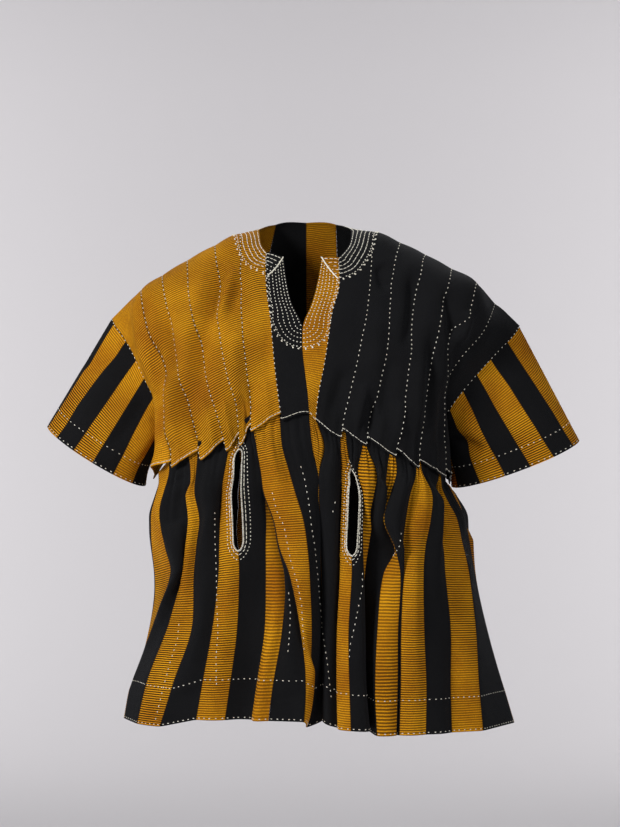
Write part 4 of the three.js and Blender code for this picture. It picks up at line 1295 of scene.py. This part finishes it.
@dataclass
class Skirt:
    """The gathered skirt of narrow strips sewn to the body's stepped edge."""

    rows: int = 108
    samples: int = 20
    back_strips: int = 15
    tuck: float = 3.8
    side_tuck: float = 3.5
    side_from: float = 150.0
    side_run: float = 50.0
    side_share: float = 0.998
    growth_start: float = 22.0
    growth_length: float = 45.0
    fullness: float = 0.42
    steepness: float = 1.5
    fold_from: float = 0.25
    fold_run: float = 0.6
    loop_width: float = 30.0
    loop_pinch: float = 0.5
    coarse_strips: Sequence[int] = (5, 13, 15, 24, 31)
    coarse_weft: float = 0.72
    seam_gap: float = 0.12
    smoothing: int = 5
    back_smoothing: int = 200
    back_sides: tuple[float, float] = (0.7, 0.5)
    back_fold: float = 9.0
    back_fold_top: float = -330.0
    back_fold_run: float = 200.0
    gather_height: float = 3.0
    strips: list = field(default_factory=list)
    objects: list = field(default_factory=list)

    def __post_init__(self) -> None:
        """Lays out the rows, closer together near the waist."""
        share = np.linspace(0, 1, self.rows)
        self.shares = 0.55 * share + 0.45 * share ** 1.6

    def height(self, x: Numbers, row: Numbers) -> Numbers:
        """Height of a row of the skirt over x."""
        return mix(np.interp(x, SKIRT_TOP["x"], SKIRT_TOP["z"]), np.interp(x, HEM["x"], HEM["z"]), row)

    def tuck_at(self, x: Numbers) -> Numbers:
        """How far inside the body the skirt's upper edge lies."""
        return self.tuck + self.side_tuck * smooth_step((np.abs(x) - self.side_from) / self.side_run)

    def growth(self, x: Numbers, z: Numbers) -> Numbers:
        """How far the folds have opened below the body, from 0 to 1."""
        start = np.interp(x, SKIRT_TOP["x"], SKIRT_TOP["z"]) - self.growth_start
        return smooth_step((start - z) / self.growth_length)

    def form_normal(self, points: np.ndarray) -> np.ndarray:
        """Outward direction of the form's section."""
        x, y, z = points[..., 0], points[..., 1], points[..., 2]
        power, width, depth = section_sizes(x, y, z)
        nx = np.sign(x) * np.abs(x / width) ** (power - 1) / width
        ny = np.sign(y) * np.abs(y / depth) ** (power - 1) / depth
        return unit(np.stack([nx, ny, 0 * nx], -1))

    def section(self, turn: np.ndarray, z: Numbers) -> np.ndarray:
        """Points of the form's section at angles counted from +X over the back."""
        c, s = np.cos(turn), np.sin(turn)
        power, width, depth = section_sizes(c, s, z)
        x = np.sign(c) * np.abs(c) ** (2 / power) * width
        y = np.sign(s) * np.abs(s) ** (2 / power) * depth
        return np.stack([x, y, z + 0 * x], -1)

    def turn_of(self, points: np.ndarray) -> np.ndarray:
        """Angle of points on the form's section."""
        x, y, z = points[..., 0], points[..., 1], points[..., 2]
        power, width, depth = section_sizes(x, y, z)
        c = np.sign(x) * np.abs(x / width) ** (power / 2)
        s = np.sign(y) * np.abs(y / depth) ** (power / 2)
        return np.arctan2(s, c)

    def front_seam(self, levels: Sequence[float], insets: Sequence[float]) -> np.ndarray:
        """One front seam, a point for each row."""
        z = self.height(smooth_at(SKIRT_LEVELS, levels, SKIRT_LEVELS[1]), self.shares)
        x = smooth_at(SKIRT_LEVELS, levels, z)
        reach = self.side_share * half_width(x, z)
        x = np.clip(x, -reach, reach)
        points = np.stack([x, -surface_depth(Side.FRONT, x, z), z], -1)
        inset = self.tuck_at(x) * (1 - self.growth(x, z)) + smooth_at(INSET_LEVELS, insets, z)
        return points - self.form_normal(points) * inset[:, None]

    def back_seams(self, left: np.ndarray, right: np.ndarray) -> list[np.ndarray]:
        """Seams of the back, evenly spaced from the left side round to the right one."""
        seams = np.empty((self.back_strips - 1, self.rows, 3))
        ends = np.stack([self.turn_of(left), np.mod(self.turn_of(right), 2 * np.pi)])
        for _ in range(self.back_smoothing):
            ends[:, 1:-1] = ends[:, 1:-1] / 2 + (ends[:, :-2] + ends[:, 2:]) / 4
        for row, share in enumerate(self.shares):
            middle = self.height(0.0, share)
            guess = self.section(np.linspace(ends[0, row], ends[1, row], 181), middle)
            goals = np.arange(1, self.back_strips) / self.back_strips * reach_along(guess)[-1]
            spots = along_line(guess, goals)
            z = self.height(np.clip(spots[:, 0], SKIRT_TOP["x"][0], SKIRT_TOP["x"][-1]), share)
            spots[:, 2] = middle
            on_form = self.section(self.turn_of(spots), z)
            on_form[:, 2] = z
            opened = smooth_step((self.back_fold_top - z) / self.back_fold_run)
            inwards = np.where(np.arange(len(z)) % 2 == 0, self.back_fold, 0.0) * opened
            inset = self.tuck_at(on_form[:, 0]) * (1 - self.growth(on_form[:, 0], z)) + inwards
            seams[:, row] = on_form - self.form_normal(on_form) * inset[:, None]
        return list(seams)

    def folded(self, a: np.ndarray, b: np.ndarray, fold: tuple[float, float]) -> np.ndarray:
        """Points across one strip, folded by its spare width as far as its seams leave room."""
        chord_line = b - a
        chord = np.hypot(chord_line[:, 0], chord_line[:, 1])
        spare = np.sqrt(np.clip(SKIRT_STRIP_WIDTH ** 2 - chord ** 2, 0, None))
        sign = mix(fold[0], fold[1], smooth_step((self.shares - self.fold_from) / self.fold_run))
        grown = self.growth((a[:, 0] + b[:, 0]) / 2, (a[:, 2] + b[:, 2]) / 2)
        depth = np.minimum(self.fullness * spare, self.steepness * chord) * grown * sign
        outwards = unit(np.stack([chord_line[:, 1], -chord_line[:, 0], 0 * chord], -1))
        pinch = np.clip(1 - chord / self.loop_width, 0, 1)[:, None] * self.loop_pinch
        u = np.arange(self.samples) / self.samples
        shifted = u[None, :] - pinch * np.sin(2 * np.pi * u) / (2 * np.pi)
        points = a[:, None, :] + chord_line[:, None, :] * shifted[..., None]
        return points + outwards[:, None, :] * (depth[:, None] * np.sin(np.pi * u))[..., None]

    def gathers(self, chance: np.random.Generator, drop: np.ndarray) -> np.ndarray:
        """Fine folds under the waist seam of one strip, rows by columns."""
        t = np.linspace(0, 1, self.samples + 1)[None, :]
        fade = smooth_step((drop - 8) / 25) * np.exp(-(np.clip(drop - 30, 0, None) / 55) ** 1.3)
        waves = np.zeros((self.rows, self.samples + 1))
        for count in (2.2, 3.6, 5.1):
            drift = chance.uniform(-0.25, 0.25)
            phase = chance.uniform(0, 1)
            waves += np.sin(2 * np.pi * (count * t + phase + drift * drop[:, None] / 60)) / count
        return self.gather_height * waves * fade[:, None] * np.sin(np.pi * t) ** 0.5

    @staticmethod
    def slit_gap(strip: int, row: Numbers) -> Numbers:
        """Half width of the slit in the seam after a strip, nothing where it has none."""
        return sum(slit.half_gap(row) for slit in POCKET_SLITS if slit.strip == strip)

    def weave(self) -> None:
        """Works out every strip of the skirt."""
        front = [self.front_seam(*FIRST_SEAM)] + [self.front_seam(x, inset) for x, inset, _ in FRONT_STRIPS]
        seams = front + self.back_seams(front[-1], front[0])
        parts = []
        for index, a in enumerate(seams):
            b = seams[(index + 1) % len(seams)]
            at_waist, at_hem = self.back_sides
            back_fold = (at_waist, at_hem if index % 2 == 0 else -at_hem)
            fold = FRONT_STRIPS[index][2] if index < len(FRONT_STRIPS) else back_fold
            parts.append(self.folded(a, b, fold))
        ring = np.concatenate(parts, axis=1)
        for _ in range(self.smoothing):
            ring = ring / 2 + np.roll(ring, 1, axis=1) / 4 + np.roll(ring, -1, axis=1) / 4
        ring = np.concatenate([ring, ring[:, :1]], axis=1)
        chance = np.random.default_rng(31)
        fractions = np.linspace(0, 1, self.samples + 1)
        for index in range(len(seams)):
            part = ring[:, index * self.samples:(index + 1) * self.samples + 1]
            sheet_rows = []
            for row, share in enumerate(self.shares):
                line = part[row]
                length = reach_along(line)[-1]
                low = self.seam_gap + self.slit_gap(index - 1, share)
                high = self.seam_gap + self.slit_gap(index, share)
                sheet_rows.append(along_line(line, mix(low, length - high, fractions)))
            points = np.array(sheet_rows)
            drop = reach_along(points[:, self.samples // 2])
            u = index * 100 + fractions * SKIRT_STRIP_WIDTH
            weft = self.coarse_weft if index in self.coarse_strips else 1.0
            sheet = Cloth(points, u[None, :], weft * (drop[-1] - drop)[:, None], 0 * points)
            sheet.turned = True
            sheet.pushed(self.gathers(chance, drop))
            self.strips.append(sheet)

    def line_on(self, strip: int, row: np.ndarray, share: np.ndarray) -> np.ndarray:
        """A line on one strip, given by rows and shares of its uncut width."""
        sheet = self.strips[strip]
        i = np.interp(row, self.shares, np.arange(self.rows))
        low = self.slit_gap(strip - 1, row) / SKIRT_STRIP_WIDTH
        high = self.slit_gap(strip, row) / SKIRT_STRIP_WIDTH
        j = (share - low) / (1 - low - high) * self.samples
        return sheet.path(i, np.clip(j, 0, self.samples))

    def face_line(self, side: Side, line: Sequence[tuple[float, float]]) -> list[np.ndarray]:
        """Stretches of a line given by x and z, on the outermost folds of one side.

        Args:
            side: The side it lies on.
            line: Its points, as x and z.

        Returns:
            Points and outward directions of each unbroken stretch.
        """
        ends = np.array(line, float)
        spots = along_line(ends, np.arange(0, reach_along(ends)[-1], PROBE_STEP))
        facing = Vector((0, side.facing, 0))
        found = []
        for x, z in spots:
            start = Vector((x, FAR_OUT * side.facing, z)) * MM
            hits = [hit for hit in (obj.ray_cast(start, -facing) for obj in self.objects) if hit[0]]
            if hits:
                _, place, normal, _ = min(hits, key=lambda hit: (hit[1] - start).length_squared)
                found.append([*(place / MM - normal * WALL / 2), *normal])
        table = np.array(found)
        jumps = np.flatnonzero(np.linalg.norm(np.diff(table[:, :3], axis=0), axis=1) > FOLD_JUMP) + 1
        return [part for part in np.split(table, jumps) if len(part) > 3]

    def build(self) -> list[Piece]:
        """Makes the skirt's gold and its black piece."""
        self.weave()
        pieces = []
        for colour, first in (("black", 0), ("gold", 1)):
            name = f"skirt_{colour}"
            nodes = [f"{name}_{index + 1:02d}" for index in range(first, len(self.strips), 2)]
            piece = cloth_piece(name, colour, self.strips[first::2], nodes, (0.90, 0.48), Hold.GATHERED)
            self.objects.append(piece.obj)
            pieces.append(piece)
        return pieces


# Soft folds of the sleeves, in the same way
SLEEVE_CREASES = creases_of({
    Side.FRONT: [
        (205, -318, 268, -346, 10, -9, 0), (218, -290, 300, -350, 15, 6, 6),
        (285, -215, 372, -330, 16, 4, 5), (262, -248, 338, -352, 12, -4, 0),
        (-226, -250, -292, -345, 14, -5, 4), (-262, -205, -348, -318, 15, 5, -6),
        (-212, -300, -262, -362, 10, 5, 0), (-280, -180, -330, -230, 12, -4, 0),
    ],
    Side.BACK: [
        (230, -270, 310, -350, 14, -5, 4), (285, -215, 370, -325, 15, 5, -5),
        (-226, -260, -300, -345, 13, -5, 0), (-265, -205, -345, -310, 15, 5, 5),
    ],
})


@dataclass
class Sleeve:
    """A short sleeve of narrow strips, from the armhole to the cuff."""

    hand: Hand
    top: tuple[float, float]
    foot: tuple[float, float]
    drag: float
    first_edge: float
    strip_width: float
    depth: float = 55.0
    droop: float = 11.0
    bulge: float = 8.0
    seam_gap: float = 0.3
    first_row: float = 0.004
    waves: int = 3
    bulge_from: float = 0.625
    bulge_run: float = 0.375
    woven_start: float = 2800
    rows: int = 48
    columns: int = 10
    most_strips: int = 8
    narrowest: float = 3.0
    strips: list = field(default_factory=list)

    def cuff(self, turn: np.ndarray) -> np.ndarray:
        """Points of the cuff at signed turns from its top, the front ones above 0."""
        share = (1 - np.cos(turn)) / 2
        x = mix(self.top[0], self.foot[0], share)
        z = mix(self.top[1], self.foot[1], share) - self.droop * np.abs(np.sin(turn))
        return np.stack([x, -self.depth * np.sin(turn), z], -1)

    def surface(self, bodice: Bodice, turn: np.ndarray, rows: np.ndarray) -> np.ndarray:
        """Points of the sleeve, rows from the armhole to the cuff by columns round it."""
        places = UNDERARM * np.abs(turn) / np.pi
        edges = {side: bodice.seams[self.hand, side][-1].at(places) for side in Side}
        start = np.where((turn >= 0)[:, None], edges[Side.FRONT], edges[Side.BACK])[None]
        end = self.cuff(turn)[None]
        row = rows[:, None]
        points = mix(start, end, row[..., None])
        wave = np.sin(np.pi * row) * np.sin(np.abs(turn)) * np.cos(self.waves * turn)
        points[..., 1] += -np.sign(turn) * self.drag * wave
        near_underarm = smooth_step((places / UNDERARM - self.bulge_from) / self.bulge_run)
        points[..., 0] += self.hand.sign * self.bulge * np.sin(np.pi * row) * near_underarm
        return points

    def build(self, bodice: Bodice) -> list[Piece]:
        """Makes the sleeve's gold and its black piece."""
        turns = np.linspace(-np.pi, np.pi, 721)
        reach = reach_along(self.cuff(turns))
        reach = reach - np.interp(0, turns, reach)
        rows = np.linspace(self.first_row, 1, self.rows)
        shares = np.linspace(0, 1, self.columns + 1)
        colours = {"gold": [], "black": []}
        ring = self.surface(bodice, np.linspace(-3, 3, 31), rows).mean(1)
        for index in range(-self.most_strips, self.most_strips):
            edges = self.first_edge + self.strip_width * np.array([index - 1, index])
            low, high = np.clip(edges, reach[0], reach[-1])
            if high - low < self.narrowest:
                continue
            goals = mix(low + self.seam_gap / 2, high - self.seam_gap / 2, shares)
            points = self.surface(bodice, np.interp(goals, reach, turns), rows)
            v = reach_along(points.mean(1))
            u = self.woven_start + index * 100 + shares * (high - low)
            sheet = Cloth(points, u[None, :], v[:, None], ring[:, None, :])
            sheet.creased(SLEEVE_CREASES)
            self.strips.append(sheet)
            colours["gold" if index % 2 == 0 else "black"].append(sheet)
        pieces = []
        main = "gold" if self.hand is Hand.RIGHT else "black"
        for colour, sheets in colours.items():
            name = f"sleeve_{self.hand.word}"
            side = Side.FRONT if colour == main else Side.BACK
            length = max(sheet.v.max() for sheet in sheets) * MM
            flat = (round(len(sheets) * self.strip_width * MM, 3), round(length, 3))
            pieces.append(cloth_piece(f"{name}_{colour}", colour, sheets, [f"{name}_{side.column}"], flat))
        return pieces


@dataclass
class NeckEmbroidery:
    """Parallel rows of hand stitching round the neck and its front slit, knotted along the edge."""

    first_row: float = 3.0
    spacing: float = 6.7
    row_count: int = 6
    closed_rows: int = 5
    knot_gap: float = 3.6
    knot_pitch: float = 9.4
    closed_pitch: float = 5.9
    dot_pitch: float = 5.0
    cord_pitch: float = 2.1
    cord_turn: float = 18
    mitre_margin: float = 2.0
    foot_rows: int = 6
    foot_share: float = 1.4
    beyond_knots: float = 1.5

    @property
    def band(self) -> float:
        """Distance of the outermost row from the edge."""
        return self.first_row + self.spacing * (self.row_count - 1)

    def build(self, bodice: Bodice, template: StitchTemplate) -> list[Piece]:
        """Makes the rows, the knots and the two mitre lines."""
        seeds = {"neck_stitch_rows": 11, "neck_knots": 12, "neck_mitre_lines": 13}
        parts = [Stitches(name, seed) for name, seed in seeds.items()]
        for hand in Hand:
            self.stitch_half(bodice, hand, parts)
        return thread_pieces(parts, template)

    def stitch_half(self, bodice: Bodice, hand: Hand, parts: Sequence[Stitches]) -> None:
        """Stitches one half of the neck: its rows, its knots and its mitre line."""
        rows, knots, mitres = parts
        front = bodice.middles[hand][Side.FRONT]
        back = bodice.middles[hand][Side.BACK]
        seam = bodice.strips[hand][0].points[:, 0]
        edge_count = int(np.sum(bodice.places < NECK_CORNER))
        ridge = len(bodice.places) - 1
        neck = seam[ridge - edge_count:ridge + edge_count + 1]
        neck = np.concatenate([front.points[0], neck, back.points[0][::-1]])
        slit_rows = int(np.sum(bodice.places[bodice.places >= NECK_CORNER] <= SLIT_FOOT_PLACE))
        slit = front.points[:slit_rows, 0]
        for sheet in (front, back, bodice.strips[hand][0], bodice.strips[hand][1]):
            from_neck = distance_to(sheet.points, neck)
            from_slit = np.full(from_neck.shape, 1e3)
            if sheet is front:
                share = np.linspace(0, 1, sheet.points.shape[1])[None, :]
                past_foot = np.arange(len(sheet.points)) - slit_rows + self.foot_rows
                fade = np.clip(self.foot_share - past_foot / self.foot_rows, 0, 1)[:, None]
                full = self.band + self.knot_gap + self.beyond_knots
                from_slit = mix(distance_to(sheet.points, slit), share * full, smooth_step(fade))
            nearest = np.minimum(from_neck, from_slit)
            for k in range(self.row_count):
                for line in contour_lines(sheet, nearest, self.first_row + k * self.spacing):
                    self.stitch_row(line, (neck, slit), k < self.closed_rows, rows)
            for line in contour_lines(sheet, nearest, self.band + self.knot_gap):
                knots.along(line, KNOT, self.knot_pitch)
            for line in contour_lines(sheet, nearest, self.band + self.knot_gap / 2):
                knots.along(line, DOT, self.knot_pitch)
            if sheet is front:
                for line in contour_lines(sheet, from_neck - from_slit, 0.0):
                    inside = distance_to(line[:, :3], neck) < self.band + self.mitre_margin
                    if inside.sum() > 3:
                        mitres.along(line[inside], CORD, self.cord_pitch, self.cord_turn)

    def stitch_row(self, line: np.ndarray, edges: Sequence[np.ndarray], closed: bool,
                   rows: Stitches) -> None:
        """Stitches one row.

        Args:
            line: The row's points and outward directions.
            edges: Points of the neck and of the slit.
            closed: Whether its stitches lie end to end round the neck; down the slit they never do.
            rows: The piece that takes its stitches.
        """
        neck, slit = edges
        is_neck = distance_to(line[:, :3], neck) < distance_to(line[:, :3], slit) + 1
        change = np.flatnonzero(np.diff(is_neck.astype(int))) + 1
        for part, flags in zip(np.split(line, change), np.split(is_neck, change)):
            if len(part) < 2:
                continue
            if flags[0] and closed:
                rows.along(part, CLOSED, self.closed_pitch)
            else:
                rows.along(part, DOT, self.dot_pitch)


# Seams of the inner folds and pockets that show as running stitches, as points in x and z
SKIRT_LINES = {
    Side.FRONT: [
        [(-131, -425), (-131, -470), (-129, -515), (-128, -560), (-126, -600), (-129, -640), (-128, -680)],
        [(-184, -590), (-186, -615), (-196, -645), (-208, -690), (-219, -735)],
        [(-49, -397), (-41, -428), (-31, -448), (-27, -470), (-21, -500), (-12, -528),
         (-6, -560), (-2, -630)],
        [(-25, -540), (-22, -570), (-23, -600), (-26, -633)],
        [(-8, -360), (-2, -380), (4, -412), (8, -448), (13, -480), (18, -530),
         (20, -558), (24, -600), (31, -645), (37, -700)],
        [(43, -408), (41, -420), (37, -434)],
        [(81, -512), (81, -536), (76, -560), (70, -590), (63, -620), (62, -640)],
        [(137, -455), (135, -476), (124, -498)],
    ],
    Side.BACK: [
        [(-150, -420), (-156, -520), (-170, -680)],
        [(-48, -380), (-52, -500), (-50, -660)],
        [(62, -400), (58, -520), (66, -690)],
        [(168, -430), (180, -560), (196, -700)],
    ],
}


@dataclass
class SeamStitching:
    """White running stitches along the seams, the hem, the cuffs and the stepped waist edge."""

    pitch: float = 8.0
    fine_pitch: float = 5.0
    fold_pitch: float = 9.0
    edge_inset: float = 3.0
    cuff_depth: float = 32.0

    def hem_depth(self, sheet: Cloth) -> float:
        """Height of the hem's upper row above the hem, deeper on the wearer's right."""
        return float(np.interp(sheet.points[-1, 0, 0], [-60, 90], [59, 50]))

    def build(self, bodice: Bodice, skirt: Skirt, sleeves: Sequence[Sleeve],
              template: StitchTemplate) -> list[Piece]:
        """Makes the stitches of the body, the skirt and the sleeves."""
        body = Stitches("bodice_seam_stitches", 21)
        for hand in Hand:
            for side in Side:
                middle = bodice.middles[hand][side]
                body.along(middle.column(1), RUNNING, self.pitch)
                body.along(middle.row_at(self.edge_inset, from_last=True), FINE, self.fine_pitch)
            for sheet in bodice.strips[hand]:
                body.along(sheet.column(1), RUNNING, self.pitch)
                body.along(sheet.row_at(self.edge_inset), FINE, self.fine_pitch)
                body.along(sheet.row_at(self.edge_inset, from_last=True), FINE, self.fine_pitch)
        lower = Stitches("skirt_stitches", 22)
        for sheet in skirt.strips:
            lower.along(sheet.row_at(self.edge_inset, from_last=True), RUNNING, self.pitch)
            lower.along(sheet.row_at(self.hem_depth(sheet), from_last=True), RUNNING, self.pitch)
        for side, lines in SKIRT_LINES.items():
            for line in lines:
                for part in skirt.face_line(side, line):
                    lower.along(part, RUNNING, self.fold_pitch)
        cuffs = Stitches("sleeve_stitches", 23)
        for sleeve in sleeves:
            for sheet in sleeve.strips:
                cuffs.along(sheet.row_at(self.edge_inset, from_last=True), RUNNING, self.pitch)
                cuffs.along(sheet.row_at(self.cuff_depth, from_last=True), RUNNING, self.pitch)
        return thread_pieces((body, lower, cuffs), template)


@dataclass
class PocketEdges:
    """The thick overcast edge round each pocket slit, with a row of stitches outside it."""

    pitch: float = 2.0
    turn: float = 78
    closed_row: float = 5.5
    closed_pitch: float = 6.4
    dot_row: float = 13.0
    dot_pitch: float = 5.4

    def loop(self, skirt: Skirt, slit: PocketSlit, extra: float) -> np.ndarray:
        """A closed line round a slit, on the two strips beside it."""
        half = slit.half + extra / slit.drop
        row = slit.middle + half * np.cos(np.linspace(0, np.pi, 91))
        gap = slit.half_gap(row, extra) / SKIRT_STRIP_WIDTH
        before = skirt.line_on(slit.strip, row, 1 - gap)
        after = skirt.line_on(slit.strip + 1, row[::-1], gap[::-1])
        return np.concatenate([before, after, before[:1]])

    def build(self, skirt: Skirt, template: StitchTemplate) -> list[Piece]:
        """Makes both edges and the rows outside them."""
        pieces = []
        rows = Stitches("pocket_stitch_rows", 32)
        for slit in POCKET_SLITS:
            edge = Stitches(f"pocket_edge_{slit.word}_overcast", 31)
            edge.along(self.loop(skirt, slit, 0.0), OVERCAST, self.pitch, self.turn)
            pieces.append(Piece(edge.build(template), "white_thread", [f"pocket_edge_{slit.word}"]))
            rows.along(self.loop(skirt, slit, self.closed_row), CLOSED, self.closed_pitch)
            rows.along(self.loop(skirt, slit, self.dot_row), DOT, self.dot_pitch)
        return pieces + thread_pieces([rows], template)


# Soft lights: name, place, size, power and target
MIDDLE = (0.0, 0.0, -0.35)
LIGHTS = [
    ("key", (-2.2, -2.1, 1.0), 0.9, 98, MIDDLE),
    ("fill", (2.2, -2.3, 0.4), 1.3, 32, MIDDLE),
    ("top", (0.4, 1.3, 1.7), 1.2, 24, MIDDLE),
    ("wall_left", (-2.8, 4.2, 1.2), 1.5, 80, (-0.5, 7.0, -1.2)),
    ("wall_right", (2.8, 4.2, 1.2), 1.5, 80, (0.5, 7.0, -1.2)),
]


@dataclass
class Studio:
    """Pale seamless paper, soft lights and the camera, in metres."""

    floor: float = -1.45
    back: float = 7.0
    height: float = 6.0
    half_width: float = 9.0
    front: float = -7.0
    bend: float = 2.6
    bend_steps: int = 16
    lens: float = 104.5
    sensor: float = 36
    camera_place: tuple[float, float, float] = (0.006, -3.6, -0.287)
    sky: tuple[float, float, float, float] = (0.92, 0.94, 1.0, 1.0)
    sky_strength: float = 0.16

    def paper(self) -> bpy.types.Object:
        """Makes the floor and the wall behind, joined by a wide bend."""
        profile = [(self.front, self.floor)]
        for k in range(self.bend_steps + 1):
            turn = math.pi / 2 * k / self.bend_steps
            profile.append((self.back - self.bend + self.bend * math.sin(turn),
                            self.floor + self.bend - self.bend * math.cos(turn)))
        profile.append((self.back, self.height))
        points = [(x, y, z) for y, z in profile for x in (-self.half_width, self.half_width)]
        faces = [(2 * i, 2 * i + 1, 2 * i + 3, 2 * i + 2) for i in range(len(profile) - 1)]
        obj = mesh_object("studio_paper", points, faces)
        bpy.ops.object.shade_smooth()
        return obj

    def light(self, name: str, place: tuple, size: float, power: float, target: tuple) -> None:
        """Adds one soft light that faces a target."""
        data = bpy.data.lights.new(name, "AREA")
        data.shape = "DISK"
        data.size = size
        data.energy = power
        obj = link(bpy.data.objects.new(name, data))
        obj.location = place
        obj.rotation_euler = (Vector(target) - Vector(place)).to_track_quat("-Z", "Y").to_euler()

    def camera(self) -> None:
        """Adds the camera at the photograph's view."""
        data = bpy.data.cameras.new("camera")
        data.lens = self.lens
        data.sensor_width = self.sensor
        obj = link(bpy.data.objects.new("camera", data))
        obj.location = self.camera_place
        obj.rotation_euler = (math.pi / 2, 0, 0)
        bpy.context.scene.camera = obj

    def build(self) -> None:
        """Sets up the whole studio."""
        paper = self.paper()
        paper.data.materials.append(Backdrop().material())
        for light in LIGHTS:
            self.light(*light)
        world = bpy.data.worlds.new("studio")
        world.use_nodes = True
        background = world.node_tree.nodes["Background"]
        background.inputs["Color"].default_value = self.sky
        background.inputs["Strength"].default_value = self.sky_strength
        bpy.context.scene.world = world
        bpy.context.scene.view_settings.view_transform = "Standard"
        self.camera()


def main() -> None:
    """Builds the smock in the studio, piece by piece."""
    logging.basicConfig(level=logging.INFO, format="%(message)s")
    Studio().build()
    materials = {
        "gold_strip_cloth": GOLD_CLOTH.material(),
        "black_strip_cloth": BLACK_CLOTH.material(),
        "white_thread": Thread().material(),
    }
    template = StitchTemplate()
    bodice = Bodice()
    skirt = Skirt()
    sleeves = [
        Sleeve(Hand.LEFT, (409, -327), (219, -396), 5, first_edge=30.4, strip_width=39.5, bulge=3),
        Sleeve(Hand.RIGHT, (-387, -306), (-241, -394), 4, first_edge=45, strip_width=34.5),
    ]
    pieces = bodice.build() + skirt.build()
    for sleeve in sleeves:
        pieces += sleeve.build(bodice)
    pieces += NeckEmbroidery().build(bodice, template)
    pieces += SeamStitching().build(bodice, skirt, sleeves, template)
    pieces += PocketEdges().build(skirt, template)
    for piece in pieces:
        piece.declare(materials[piece.slot])
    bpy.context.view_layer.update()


if __name__ == "__main__":
    main()
